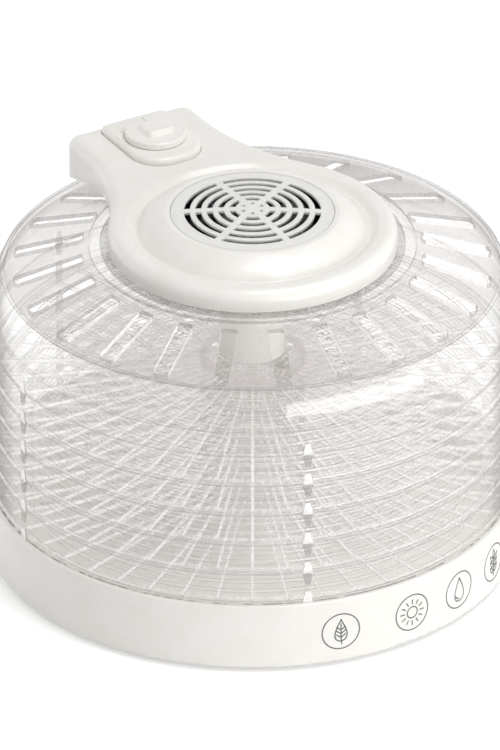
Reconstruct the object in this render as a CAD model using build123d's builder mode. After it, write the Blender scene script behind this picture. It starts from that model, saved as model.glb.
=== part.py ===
"""Round food dehydrator: base, five clear trays, clear lid and a lift-off power head with handle.

Millimetres, +Z up. The origin lies under the middle of the base, at the level it stands on.
The handle points to +Y.
"""
import os
from math import cos, hypot, radians, sin

from build123d import *

# Fits
NEST_CLEARANCE = 0.3
PIN_CLEARANCE = 0.05
SCREW_HOLE_CLEARANCE = 0.2

# Feet
FOOT_PROUD = 2.0
FOOT_RADIUS = 9.0
FOOT_COUNT = 4
FOOT_INSET = 31.0
FOOT_TURN = 45.0
FOOT_STEM_RADIUS = 3.5

# Base
BASE_LEDGE = 2.5
BASE_HEIGHT = 44.0
BASE_WALL = 2.6
BASE_FLOOR = 3.0
BASE_LOWER_ROUND = 4.0
BASE_UPPER_ROUND = 1.0
BASE_RIM_DEPTH = 7.0
CONE_FOOT_RADIUS = 52.0
CONE_TIP_RADIUS = 16.0
CONE_HEIGHT = 24.0

# Trays
TRAY_COUNT = 5
TRAY_RADIUS = 160.5
TRAY_PITCH = 20.5
TRAY_WALL = 2.0
TRAY_BAND_STEP = 1.0
TRAY_LOWER_BAND = 4.0
TRAY_UPPER_BAND = 5.5
TRAY_LEDGE = 2.0
TRAY_LEDGE_WIDTH = 4.0
TRAY_FLOOR = 2.0
NEST_DEPTH = 3.0
NEST_WALL = 1.9
COLLAR_RADIUS = 30.0
COLLAR_WALL = 2.0
COLLAR_HEIGHT = 6.0
KEY_COUNT = 5
KEY_TURN = 36.0
KEY_WIDTH = 12.0
KEY_TIP_WIDTH = 6.0
FLOOR_RINGS = 7
FLOOR_SPOKES = 18
FLOOR_BAR = 4.0
FLOOR_SPOKE_WIDTH = 3.0
FLOOR_MARGIN = 3.0

# Lid
LID_WALL = 2.4
LID_SKIRT = 19.0
LID_RIM_INSET = 7.0
LID_RIM_HEIGHT = 42.0
LID_SHOULDER_BULGE = 1.8
LID_BEAD_HEIGHT = 1.5
LID_BEAD_WIDTH = 2.2
LID_LIP_RADIUS = 100.0
LID_LIP_WIDTH = 7.0
LID_LIP_HEIGHT = 2.5
LID_SEAT_HEIGHT = 58.0
LID_HOLE_RADIUS = 79.0
VENT_COUNT = 24
VENT_WIDTH = 10.0
VENT_INNER_GAP = 4.0
VENT_OUTER_GAP = 5.0
VENT_CORNER = 2.0

# Head housing
DISC_RADIUS = 88.5
HEAD_HEIGHT = 15.0
HEAD_WALL = 2.5
HEAD_EDGE_ROUND = 7.0
HANDLE_END = 156.0
HANDLE_HALF_WIDTH = 44.0
HANDLE_CORNER = 9.0
HANDLE_FLANK_RADIUS = 140.0
HANDLE_END_DROP = 11.5
SEAT_OVERLAP = 5.0
LIP_GAP = 0.8
SPIGOT_DEPTH = 5.0
SPIGOT_WALL = 2.2
COVER_PLATE = 2.2

# Dome of the head
CREST_RADIUS = 77.0
TROUGH_RADIUS = 71.0
TROUGH_DEPTH = 4.5
DOME_TOP_RADIUS = 53.5
DOME_HEIGHT = 8.0
DOME_BULGE = 1.6
TROUGH_ROUND = 3.0
CREST_ROUND = 4.0

# Grille
GRILLE_RADIUS = 50.0
GRILLE_LEDGE = 3.0
GRILLE_THICKNESS = 1.8
GRILLE_CROWN = 2.5
GRILLE_RINGS = 6
GRILLE_SLOT = 3.6
GRILLE_PITCH = 6.9
GRILLE_SLOT_RADIUS = 41.8
GRILLE_SPOKES = 6
GRILLE_TURN = 90.0
GRILLE_SPOKE_WIDTH = 4.5

# Control panel and knob
PANEL_HALF_WIDTH = 23.0
PANEL_FRONT = 89.0
PANEL_BACK = 149.0
PANEL_FRONT_ROUND = 19.0
PANEL_BACK_ROUND = 5.0
PANEL_RISE = 4.5
PANEL_EDGE_ROUND = 3.0
PANEL_WALL = 2.4
PANEL_LEDGE = 3.0
KNOB_CENTRE = 119.0
KNOB_RADIUS = 19.0
KNOB_HEIGHT = 4.0
KNOB_GAP = 0.5
KNOB_GRIP_LENGTH = 20.0
KNOB_GRIP_WIDTH = 18.0
KNOB_GRIP_CORNER = 5.0
KNOB_GRIP_HEIGHT = 3.2
KNOB_GRIP_TAPER = 30.0
KNOB_ROUND = 1.0
KNOB_POINTER_WIDTH = 1.6
KNOB_POINTER_LENGTH = 7.0
KNOB_POINTER_DEPTH = 0.6
SPINDLE_RADIUS = 3.0
SPINDLE_DEPTH = 6.0

# Duct, motor and fan
DUCT_RADIUS = 20.0
DUCT_WALL = 2.0
DUCT_MOUTH_RADIUS = 43.0
DUCT_FLANGE_RADIUS = 52.0
DUCT_FLANGE = 2.0
DUCT_FUNNEL = 18.0
DUCT_LENGTH = 76.0
DUCT_LIP = 2.5
GUARD_THICKNESS = 1.6
GUARD_SLOT = 3.0
GUARD_SLOTS = 3
MOTOR_RADIUS = 14.0
MOTOR_HEIGHT = 28.0
MOTOR_ROUND = 1.5
BRACKET_HUB_RADIUS = 13.0
BRACKET_THICKNESS = 2.0
BRACKET_ARM_WIDTH = 9.0
BRACKET_ARMS = 3
BRACKET_TURN = 90.0
SHAFT_RADIUS = 1.6
SHAFT_IN_MOTOR = 12.0
FAN_RADIUS = 38.0
FAN_HUB_RADIUS = 10.0
FAN_HUB_HEIGHT = 9.0
FAN_BLADES = 5
FAN_BLADE_WIDTH = 15.0
FAN_BLADE_THICKNESS = 1.4
FAN_BLADE_PITCH = 28.0
FAN_LIFT = 3.0
FAN_CAP = 2.0

# Heater
MICA_THICKNESS = 1.0
MICA_HEIGHT = 26.0
MICA_CORE_RADIUS = 4.0
MICA_EDGE = 2.5
COIL_WIRE_RADIUS = 0.8
COIL_TURN_GAP = 3.6
COIL_HALF_TURNS = 4
COIL_SLIT = 2.4

# Fittings
CUTOFF_LENGTH = 16.0
CUTOFF_WIDTH = 9.0
CUTOFF_HEIGHT = 5.0
CUTOFF_CORNER = 2.0
BLOCK_LENGTH = 20.0
BLOCK_WIDTH = 11.0
BLOCK_HEIGHT = 5.0
BLOCK_POLES = 3
FITTING_RADIUS = 60.0
THERMOSTAT_LENGTH = 26.0
THERMOSTAT_WIDTH = 24.0
THERMOSTAT_HEIGHT = 9.0
THERMOSTAT_CORNER = 2.0
GLAND_RADIUS = 4.0
GLAND_FLANGE_RADIUS = 6.0
GLAND_FLANGE = 2.0
GLAND_BORE = 2.6
GLAND_NOSE = 4.0
GLAND_LIFT = 8.5
SCREW_RADIUS = 1.6
SCREW_HEAD_RADIUS = 3.3
SCREW_HEAD = 2.2
COVER_SCREWS = 4
COVER_SCREW_CIRCLE = 70.0
COVER_SCREW_TURN = 45.0
BOSS_RADIUS = 4.5
BOSS_HOLE_DEPTH = 5.5

# Heights that follow from the sizes above
BASE_BOTTOM = FOOT_PROUD
BASE_TOP = BASE_BOTTOM + BASE_HEIGHT
LEDGE_TOP = TRAY_LEDGE - NEST_DEPTH
LID_BOTTOM = BASE_TOP + TRAY_COUNT * TRAY_PITCH
SEAT = LID_BOTTOM + LID_SEAT_HEIGHT
LIP_TOP = SEAT + LID_LIP_HEIGHT
HEAD_TOP = SEAT + HEAD_HEIGHT
PLATE_TOP = SEAT + COVER_PLATE
TROUGH = HEAD_TOP - TROUGH_DEPTH
DOME_TOP = HEAD_TOP + DOME_HEIGHT
GRILLE_SEAT = DOME_TOP - GRILLE_THICKNESS
PANEL_TOP = HEAD_TOP + PANEL_RISE
KNOB_BOTTOM = PANEL_TOP + KNOB_GAP
FLANGE_TOP = PLATE_TOP + DUCT_FLANGE
BRACKET_TOP = FLANGE_TOP + BRACKET_THICKNESS
FAN_BOTTOM = BRACKET_TOP + FAN_LIFT
DUCT_BOTTOM = FLANGE_TOP - DUCT_LENGTH
GUARD_TOP = DUCT_BOTTOM + DUCT_LIP + GUARD_THICKNESS
COIL_LEVEL = GUARD_TOP + MICA_HEIGHT / 2
THERMOSTAT_TOP = PANEL_TOP - PANEL_WALL
GLAND_LEVEL = SEAT - HANDLE_END_DROP + GLAND_LIFT

# Radii that follow from the sizes above
BASE_RADIUS = TRAY_RADIUS + BASE_LEDGE
FOOT_CIRCLE = BASE_RADIUS - FOOT_INSET
NEST_RADIUS = TRAY_RADIUS - NEST_WALL
FOOT_RING_RADIUS = NEST_RADIUS - NEST_CLEARANCE
TRAY_INSIDE = TRAY_RADIUS - TRAY_BAND_STEP - TRAY_WALL
DUCT_INSIDE = DUCT_RADIUS - DUCT_WALL
LID_RIM_RADIUS = TRAY_RADIUS - LID_RIM_INSET
LIP_INSIDE = LID_LIP_RADIUS - LID_LIP_WIDTH
BRACKET_SCREW_CIRCLE = (DUCT_MOUTH_RADIUS + DUCT_FLANGE_RADIUS) / 2
REACH = 2 * BASE_RADIUS

KEY_ANGLES = [KEY_TURN + index * 360 / KEY_COUNT for index in range(KEY_COUNT)]
BRACKET_ANGLES = [BRACKET_TURN + index * 360 / BRACKET_ARMS for index in range(BRACKET_ARMS)]
COVER_ANGLES = [COVER_SCREW_TURN + index * 360 / COVER_SCREWS for index in range(COVER_SCREWS)]

os.makedirs("parts", exist_ok=True)


def keep(part, name):
    """Names a finished piece and writes it."""
    part.label = name
    export_step(part, f"parts/{name}.step")


def draw_section(points):
    """Closed section of straight lines, radius first and height second."""
    Polygon(*points, align=None)


def around(radius, angles, height):
    """Places on a circle, each turned so that its X points outward."""
    return [
        Location((radius * cos(radians(angle)), radius * sin(radians(angle)), height), (0, 0, angle))
        for angle in angles
    ]


def key_planes(height):
    """Upright planes at the stacking keys that look outward, with Y up."""
    inner = NEST_RADIUS - TRAY_WALL / 2
    return [
        Plane(
            origin=(inner * cos(radians(angle)), inner * sin(radians(angle)), height),
            x_dir=(-sin(radians(angle)), cos(radians(angle)), 0),
            z_dir=(cos(radians(angle)), sin(radians(angle)), 0),
        )
        for angle in KEY_ANGLES
    ]


def draw_key(clearance):
    """Tapered stacking key that hangs from its workplane."""
    half = KEY_WIDTH / 2 + clearance
    tip = KEY_TIP_WIDTH / 2 + clearance
    draw_section([(-half, 0), (-tip, -NEST_DEPTH - clearance), (tip, -NEST_DEPTH - clearance), (half, 0)])


def draw_head_outline(inset):
    """Disc and handle as one outline, moved inward by inset."""
    Circle(DISC_RADIUS - inset)
    with Locations((0, (HANDLE_END - inset) / 2)):
        Rectangle(2 * (HANDLE_HALF_WIDTH - inset), HANDLE_END - inset)
    corners = vertices().group_by(Axis.Y)
    fillet(corners[-1], HANDLE_CORNER - inset)
    rear = [vertex for vertex in vertices() if vertex.Y > 0]
    disc = DISC_RADIUS - inset
    flanks = [vertex for vertex in rear if abs(hypot(vertex.X, vertex.Y) - disc) < PIN_CLEARANCE]
    fillet(flanks, HANDLE_FLANK_RADIUS + inset)


def underside(lift):
    """Lower line of the head from the axis out: flat on the lid, over its lip, then down along the lid."""
    return [
        (0, SEAT + lift),
        (LID_HOLE_RADIUS + SEAT_OVERLAP, SEAT + lift),
        (LIP_INSIDE - LIP_GAP, LIP_TOP + LIP_GAP + lift),
        (LID_LIP_RADIUS + LIP_GAP, LIP_TOP + LIP_GAP + lift),
        (HANDLE_END, SEAT - HANDLE_END_DROP + lift),
        (REACH, SEAT - HANDLE_END_DROP + lift),
    ]


def draw_panel_outline(growth):
    """Outline of the control panel, rounded more towards the disc."""
    half = PANEL_HALF_WIDTH + growth
    front = PANEL_FRONT - growth
    back = PANEL_BACK + growth
    with Locations((0, (front + back) / 2)):
        Rectangle(2 * half, back - front)
    ends = vertices().group_by(Axis.Y)
    fillet(ends[-1], PANEL_BACK_ROUND + growth)
    fillet(vertices().group_by(Axis.Y)[0], PANEL_FRONT_ROUND + growth)


# Base pan
with BuildPart() as base_pan:
    with BuildSketch(Plane.XZ):
        draw_section(
            [
                (0, BASE_BOTTOM + CONE_HEIGHT),
                (CONE_TIP_RADIUS - BASE_FLOOR, BASE_BOTTOM + CONE_HEIGHT),
                (CONE_FOOT_RADIUS - BASE_FLOOR, BASE_BOTTOM),
                (BASE_RADIUS, BASE_BOTTOM),
                (BASE_RADIUS, BASE_TOP),
                (NEST_RADIUS, BASE_TOP),
                (NEST_RADIUS, BASE_TOP - BASE_RIM_DEPTH + BASE_WALL),
                (BASE_RADIUS - BASE_WALL, BASE_TOP - BASE_RIM_DEPTH),
                (BASE_RADIUS - BASE_WALL, BASE_BOTTOM + BASE_FLOOR),
                (CONE_FOOT_RADIUS, BASE_BOTTOM + BASE_FLOOR),
                (CONE_TIP_RADIUS, BASE_BOTTOM + CONE_HEIGHT + BASE_FLOOR),
                (0, BASE_BOTTOM + CONE_HEIGHT + BASE_FLOOR),
            ]
        )
    revolve(axis=Axis.Z)
    outer_edges = edges().filter_by(GeomType.CIRCLE).group_by(SortBy.RADIUS)[-1]
    fillet(outer_edges.sort_by(Axis.Z)[0], BASE_LOWER_ROUND)
    outer_edges = edges().filter_by(GeomType.CIRCLE).group_by(SortBy.RADIUS)[-1]
    fillet(outer_edges.sort_by(Axis.Z)[-1], BASE_UPPER_ROUND)
    with BuildSketch(*key_planes(BASE_TOP)):
        draw_key(NEST_CLEARANCE)
    extrude(amount=NEST_WALL, mode=Mode.SUBTRACT)
    with BuildSketch(Plane.XY.offset(BASE_BOTTOM)):
        with PolarLocations(FOOT_CIRCLE, FOOT_COUNT, start_angle=FOOT_TURN):
            Circle(FOOT_STEM_RADIUS)
    extrude(amount=BASE_FLOOR, mode=Mode.SUBTRACT)
keep(base_pan.part, "base_pan")

# Feet, each a disc with a plug through the floor
with BuildPart() as base_feet:
    with BuildSketch():
        with PolarLocations(FOOT_CIRCLE, FOOT_COUNT, start_angle=FOOT_TURN):
            Circle(FOOT_RADIUS)
    extrude(amount=FOOT_PROUD)
    with BuildSketch(Plane.XY.offset(FOOT_PROUD)):
        with PolarLocations(FOOT_CIRCLE, FOOT_COUNT, start_angle=FOOT_TURN):
            Circle(FOOT_STEM_RADIUS - PIN_CLEARANCE)
    extrude(amount=BASE_FLOOR)
keep(base_feet.part, "base_feet")

# Ring of one tray, with its seat at the level of the origin: a stepped wall, and a ledge for the floor
with BuildPart() as tray_ring:
    with BuildSketch(Plane.XZ):
        draw_section(
            [
                (TRAY_INSIDE - TRAY_LEDGE_WIDTH, -NEST_DEPTH),
                (FOOT_RING_RADIUS, -NEST_DEPTH),
                (FOOT_RING_RADIUS, 0),
                (TRAY_RADIUS, 0),
                (TRAY_RADIUS, TRAY_LOWER_BAND),
                (TRAY_RADIUS - TRAY_BAND_STEP, TRAY_LOWER_BAND + TRAY_BAND_STEP),
                (TRAY_RADIUS - TRAY_BAND_STEP, TRAY_PITCH - TRAY_UPPER_BAND - TRAY_BAND_STEP),
                (TRAY_RADIUS, TRAY_PITCH - TRAY_UPPER_BAND),
                (TRAY_RADIUS, TRAY_PITCH),
                (NEST_RADIUS, TRAY_PITCH),
                (NEST_RADIUS, TRAY_PITCH - NEST_DEPTH - NEST_CLEARANCE),
                (TRAY_INSIDE, TRAY_PITCH - NEST_DEPTH - NEST_CLEARANCE),
                (TRAY_INSIDE, LEDGE_TOP),
                (TRAY_INSIDE - TRAY_LEDGE_WIDTH, LEDGE_TOP),
            ]
        )
    revolve(axis=Axis.Z)
    with BuildSketch(*key_planes(0)):
        draw_key(0)
    extrude(amount=NEST_WALL - NEST_CLEARANCE)
    with BuildSketch(*key_planes(TRAY_PITCH)):
        draw_key(NEST_CLEARANCE)
    extrude(amount=2 * NEST_WALL, mode=Mode.SUBTRACT)

# Floor of one tray: a slotted disc with a collar round its hole, laid on the ledge
with BuildPart() as tray_floor:
    window_inside = COLLAR_RADIUS + COLLAR_WALL + FLOOR_MARGIN
    window_outside = TRAY_INSIDE - TRAY_LEDGE_WIDTH - FLOOR_MARGIN
    window_pitch = (window_outside - window_inside + FLOOR_BAR) / FLOOR_RINGS
    with BuildSketch(Plane.XY.offset(LEDGE_TOP)):
        Circle(TRAY_INSIDE - NEST_CLEARANCE)
        Circle(COLLAR_RADIUS, mode=Mode.SUBTRACT)
    extrude(amount=TRAY_FLOOR)
    with BuildSketch(Plane.XY.offset(LEDGE_TOP)):
        for ring in range(FLOOR_RINGS):
            Circle(window_outside - ring * window_pitch)
            Circle(window_outside - (ring + 1) * window_pitch + FLOOR_BAR, mode=Mode.SUBTRACT)
        with PolarLocations(0, FLOOR_SPOKES):
            Rectangle(TRAY_RADIUS, FLOOR_SPOKE_WIDTH, align=(Align.MIN, Align.CENTER), mode=Mode.SUBTRACT)
    extrude(amount=TRAY_FLOOR, mode=Mode.SUBTRACT)
    with BuildSketch(Plane.XY.offset(LEDGE_TOP)):
        Circle(COLLAR_RADIUS + COLLAR_WALL)
        Circle(COLLAR_RADIUS, mode=Mode.SUBTRACT)
    extrude(amount=COLLAR_HEIGHT)
for number in range(1, TRAY_COUNT + 1):
    seat_height = BASE_TOP + (number - 1) * TRAY_PITCH
    keep(tray_ring.part.moved(Location((0, 0, seat_height))), f"tray_{number}_ring")
    keep(tray_floor.part.moved(Location((0, 0, seat_height))), f"tray_{number}_floor")

# Lid
with BuildPart() as lid:
    lid_rim = LID_BOTTOM + LID_RIM_HEIGHT
    shoulder_middle_radius = (TRAY_RADIUS + LID_RIM_RADIUS) / 2 + LID_SHOULDER_BULGE
    shoulder_middle_height = LID_BOTTOM + (LID_SKIRT + LID_RIM_HEIGHT) / 2
    with BuildSketch(Plane.XZ):
        with BuildLine():
            Polyline(
                (TRAY_INSIDE, LID_BOTTOM - NEST_DEPTH),
                (FOOT_RING_RADIUS, LID_BOTTOM - NEST_DEPTH),
                (FOOT_RING_RADIUS, LID_BOTTOM),
                (TRAY_RADIUS, LID_BOTTOM),
                (TRAY_RADIUS, LID_BOTTOM + LID_SKIRT),
            )
            ThreePointArc(
                (TRAY_RADIUS, LID_BOTTOM + LID_SKIRT),
                (shoulder_middle_radius, shoulder_middle_height),
                (LID_RIM_RADIUS, lid_rim),
            )
            Polyline(
                (LID_RIM_RADIUS, lid_rim),
                (LID_RIM_RADIUS, lid_rim + LID_BEAD_HEIGHT),
                (LID_RIM_RADIUS - LID_BEAD_WIDTH, lid_rim + LID_BEAD_HEIGHT),
                (LID_RIM_RADIUS - LID_BEAD_WIDTH, lid_rim),
                (LID_LIP_RADIUS, SEAT),
                (LID_LIP_RADIUS, LIP_TOP),
                (LIP_INSIDE, LIP_TOP),
                (LIP_INSIDE, SEAT),
                (LID_HOLE_RADIUS, SEAT),
                (LID_HOLE_RADIUS, SEAT - LID_WALL),
                (LID_LIP_RADIUS - LID_WALL / 2, SEAT - LID_WALL),
                (LID_RIM_RADIUS - LID_WALL - LID_BEAD_WIDTH, lid_rim - LID_WALL),
                (LID_RIM_RADIUS - LID_WALL, lid_rim - LID_WALL),
            )
            ThreePointArc(
                (LID_RIM_RADIUS - LID_WALL, lid_rim - LID_WALL),
                (shoulder_middle_radius - LID_WALL, shoulder_middle_height - LID_WALL),
                (TRAY_INSIDE, LID_BOTTOM + LID_SKIRT - LID_WALL),
            )
            Line((TRAY_INSIDE, LID_BOTTOM + LID_SKIRT - LID_WALL), (TRAY_INSIDE, LID_BOTTOM - NEST_DEPTH))
        make_face()
    revolve(axis=Axis.Z)
    with BuildSketch(*key_planes(LID_BOTTOM)):
        draw_key(0)
    extrude(amount=NEST_WALL - NEST_CLEARANCE)
    vent_inside = LID_LIP_RADIUS + VENT_INNER_GAP
    vent_outside = LID_RIM_RADIUS - LID_BEAD_WIDTH - VENT_OUTER_GAP
    with BuildSketch(Plane.XY.offset(lid_rim - 2 * LID_WALL)):
        with PolarLocations((vent_inside + vent_outside) / 2, VENT_COUNT, start_angle=180 / VENT_COUNT):
            RectangleRounded(vent_outside - vent_inside, VENT_WIDTH, VENT_CORNER)
    extrude(amount=SEAT - lid_rim + 4 * LID_WALL, mode=Mode.SUBTRACT)
keep(lid.part, "lid")

# Hollow of the head, taken out of the top cover
with BuildPart() as head_hollow:
    with BuildSketch(Plane.XY.offset(SEAT - 2 * HEAD_HEIGHT)):
        draw_head_outline(HEAD_WALL)
    extrude(amount=3 * HEAD_HEIGHT - HEAD_WALL)
    fillet(faces().sort_by(Axis.Z)[-1].edges(), HEAD_EDGE_ROUND - HEAD_WALL)

# Head top cover: disc and handle as a shell, then the panel seat, the trough and the dome
with BuildPart() as head_top_cover:
    with BuildSketch(Plane.XY.offset(SEAT - HEAD_HEIGHT)):
        draw_head_outline(0)
    extrude(amount=2 * HEAD_HEIGHT)
    fillet(faces().sort_by(Axis.Z)[-1].edges(), HEAD_EDGE_ROUND)
    with BuildSketch(Plane.XZ):
        draw_section(underside(0) + [(REACH, 0), (0, 0)])
    revolve(axis=Axis.Z, mode=Mode.SUBTRACT)
    add(head_hollow.part, mode=Mode.SUBTRACT)
    with BuildSketch(Plane.XY.offset(HEAD_TOP - 2 * HEAD_WALL)):
        draw_panel_outline(HEAD_WALL)
    extrude(amount=HEAD_WALL)
    with BuildSketch(Plane.XY.offset(HEAD_TOP - HEAD_WALL)):
        draw_panel_outline(NEST_CLEARANCE)
    extrude(amount=HEAD_HEIGHT, mode=Mode.SUBTRACT)
    with BuildSketch(Plane.XY.offset(SEAT)):
        draw_panel_outline(-PANEL_LEDGE)
    extrude(amount=2 * HEAD_HEIGHT, mode=Mode.SUBTRACT)
    with BuildSketch(Plane.XY.offset(SEAT)):
        Circle(CREST_RADIUS)
    extrude(amount=2 * HEAD_HEIGHT, mode=Mode.SUBTRACT)
    dome_lean = Vector(DOME_TOP - TROUGH, TROUGH_RADIUS - DOME_TOP_RADIUS).normalized()
    dome_middle = Vector((TROUGH_RADIUS + DOME_TOP_RADIUS) / 2, (TROUGH + DOME_TOP) / 2)
    dome_bulge = dome_middle + dome_lean * DOME_BULGE
    ledge_inside = GRILLE_RADIUS - GRILLE_LEDGE
    with BuildSketch(Plane.XZ):
        with BuildLine():
            Line((CREST_RADIUS, HEAD_TOP), (TROUGH_RADIUS, TROUGH))
            ThreePointArc((TROUGH_RADIUS, TROUGH), (dome_bulge.X, dome_bulge.Y), (DOME_TOP_RADIUS, DOME_TOP))
            Polyline(
                (DOME_TOP_RADIUS, DOME_TOP),
                (GRILLE_RADIUS + NEST_CLEARANCE, DOME_TOP),
                (GRILLE_RADIUS + NEST_CLEARANCE, GRILLE_SEAT),
                (ledge_inside, GRILLE_SEAT),
                (ledge_inside, GRILLE_SEAT - HEAD_WALL),
                (DOME_TOP_RADIUS + HEAD_WALL, GRILLE_SEAT - HEAD_WALL),
                (TROUGH_RADIUS - HEAD_WALL / 2, TROUGH - HEAD_WALL),
                (TROUGH_RADIUS, TROUGH - HEAD_WALL),
                (CREST_RADIUS, HEAD_TOP - HEAD_WALL),
                (CREST_RADIUS, HEAD_TOP),
            )
        make_face()
        fillet(vertices().sort_by_distance((TROUGH_RADIUS, TROUGH))[0], TROUGH_ROUND)
    revolve(axis=Axis.Z)
    level_edges = edges().filter_by(GeomType.CIRCLE)
    top_edges = level_edges.filter_by_position(Axis.Z, HEAD_TOP - PIN_CLEARANCE, HEAD_TOP)
    fillet(top_edges.filter_by(lambda edge: abs(edge.radius - CREST_RADIUS) < PIN_CLEARANCE), CREST_ROUND)
    with BuildSketch(Plane.XY.offset(PLATE_TOP)):
        with Locations(*around(COVER_SCREW_CIRCLE, COVER_ANGLES, 0)):
            Circle(BOSS_RADIUS)
    extrude(amount=TROUGH - PLATE_TOP - NEST_CLEARANCE)
    with BuildSketch(Plane.XY.offset(PLATE_TOP)):
        with Locations(*around(COVER_SCREW_CIRCLE, COVER_ANGLES, 0)):
            Circle(SCREW_RADIUS + PIN_CLEARANCE)
    extrude(amount=BOSS_HOLE_DEPTH, mode=Mode.SUBTRACT)
    with BuildSketch(Plane.XZ.offset(-HANDLE_END)):
        with Locations((0, GLAND_LEVEL)):
            Circle(GLAND_RADIUS + PIN_CLEARANCE)
    extrude(amount=2 * HEAD_WALL, mode=Mode.SUBTRACT)
keep(head_top_cover.part, "head_top_cover")

# Control panel: a raised cap let into the handle
with BuildPart() as control_panel:
    with BuildSketch(Plane.XY.offset(HEAD_TOP - HEAD_WALL)):
        draw_panel_outline(0)
    extrude(amount=HEAD_WALL + PANEL_RISE)
    fillet(faces().sort_by(Axis.Z)[-1].edges(), PANEL_EDGE_ROUND)
    with BuildSketch(Plane.XY.offset(HEAD_TOP - HEAD_WALL)):
        draw_panel_outline(-PANEL_WALL)
    extrude(amount=HEAD_WALL + PANEL_RISE - PANEL_WALL, mode=Mode.SUBTRACT)
    with BuildSketch(Plane.XY.offset(HEAD_TOP)):
        with Locations((0, KNOB_CENTRE)):
            Circle(SPINDLE_RADIUS + NEST_CLEARANCE)
    extrude(amount=2 * PANEL_RISE, mode=Mode.SUBTRACT)
keep(control_panel.part, "control_panel")

# Control knob: a low dial with a raised grip and a pointer groove
with BuildPart() as control_knob:
    with BuildSketch(Plane.XY.offset(KNOB_BOTTOM)):
        with Locations((0, KNOB_CENTRE)):
            Circle(KNOB_RADIUS)
    extrude(amount=KNOB_HEIGHT)
    fillet(edges().group_by(Axis.Z)[-1], KNOB_ROUND)
    with BuildSketch(Plane.XY.offset(KNOB_BOTTOM + KNOB_HEIGHT)):
        with Locations((0, KNOB_CENTRE)):
            RectangleRounded(KNOB_GRIP_LENGTH, KNOB_GRIP_WIDTH, KNOB_GRIP_CORNER)
    extrude(amount=KNOB_GRIP_HEIGHT, taper=KNOB_GRIP_TAPER)
    fillet(edges().group_by(Axis.Z)[-1], KNOB_ROUND)
    with BuildSketch(Plane.XY.offset(KNOB_BOTTOM + KNOB_HEIGHT)):
        with Locations((0, KNOB_CENTRE + (KNOB_GRIP_WIDTH / 2 + KNOB_RADIUS) / 2)):
            SlotOverall(KNOB_POINTER_LENGTH, KNOB_POINTER_WIDTH, rotation=90)
    extrude(amount=-KNOB_POINTER_DEPTH, mode=Mode.SUBTRACT)
    with BuildSketch(Plane.XY.offset(KNOB_BOTTOM)):
        with Locations((0, KNOB_CENTRE)):
            Circle(SPINDLE_RADIUS + PIN_CLEARANCE)
    extrude(amount=KNOB_HEIGHT + KNOB_ROUND, mode=Mode.SUBTRACT)
keep(control_knob.part, "control_knob")

# Spindle between the thermostat and the knob
with BuildPart() as control_spindle:
    with BuildSketch(Plane.XY.offset(THERMOSTAT_TOP - SPINDLE_DEPTH)):
        with Locations((0, KNOB_CENTRE)):
            Circle(SPINDLE_RADIUS)
    extrude(amount=KNOB_BOTTOM + KNOB_HEIGHT + KNOB_ROUND - THERMOSTAT_TOP + SPINDLE_DEPTH)
keep(control_spindle.part, "control_spindle")

# Thermostat under the panel
with BuildPart() as thermostat:
    with BuildSketch(Plane.XY.offset(THERMOSTAT_TOP - THERMOSTAT_HEIGHT)):
        with Locations((0, KNOB_CENTRE)):
            RectangleRounded(THERMOSTAT_WIDTH, THERMOSTAT_LENGTH, THERMOSTAT_CORNER)
    extrude(amount=THERMOSTAT_HEIGHT)
    with BuildSketch(Plane.XY.offset(THERMOSTAT_TOP)):
        with Locations((0, KNOB_CENTRE)):
            Circle(SPINDLE_RADIUS + PIN_CLEARANCE)
    extrude(amount=-SPINDLE_DEPTH, mode=Mode.SUBTRACT)
keep(thermostat.part, "thermostat")

# Air inlet grille: a shallow dome with rings of slots between spokes
with BuildPart() as air_inlet_grille:
    hub_radius = GRILLE_SLOT_RADIUS - GRILLE_SLOT - (GRILLE_RINGS - 1) * GRILLE_PITCH
    with BuildSketch(Plane.XZ):
        draw_section(
            [
                (0, GRILLE_SEAT + GRILLE_CROWN),
                (hub_radius, GRILLE_SEAT + GRILLE_CROWN),
                (ledge_inside, GRILLE_SEAT),
                (GRILLE_RADIUS, GRILLE_SEAT),
                (GRILLE_RADIUS, DOME_TOP),
                (hub_radius, DOME_TOP + GRILLE_CROWN),
                (0, DOME_TOP + GRILLE_CROWN),
            ]
        )
    revolve(axis=Axis.Z)
    with BuildSketch(Plane.XY.offset(GRILLE_SEAT - GRILLE_CROWN)):
        for ring in range(GRILLE_RINGS):
            Circle(GRILLE_SLOT_RADIUS - ring * GRILLE_PITCH)
            Circle(GRILLE_SLOT_RADIUS - ring * GRILLE_PITCH - GRILLE_SLOT, mode=Mode.SUBTRACT)
        with PolarLocations(0, GRILLE_SPOKES, start_angle=GRILLE_TURN):
            Rectangle(GRILLE_RADIUS, GRILLE_SPOKE_WIDTH, align=(Align.MIN, Align.CENTER), mode=Mode.SUBTRACT)
    extrude(amount=2 * GRILLE_THICKNESS + 2 * GRILLE_CROWN, mode=Mode.SUBTRACT)
keep(air_inlet_grille.part, "air_inlet_grille")

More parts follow.
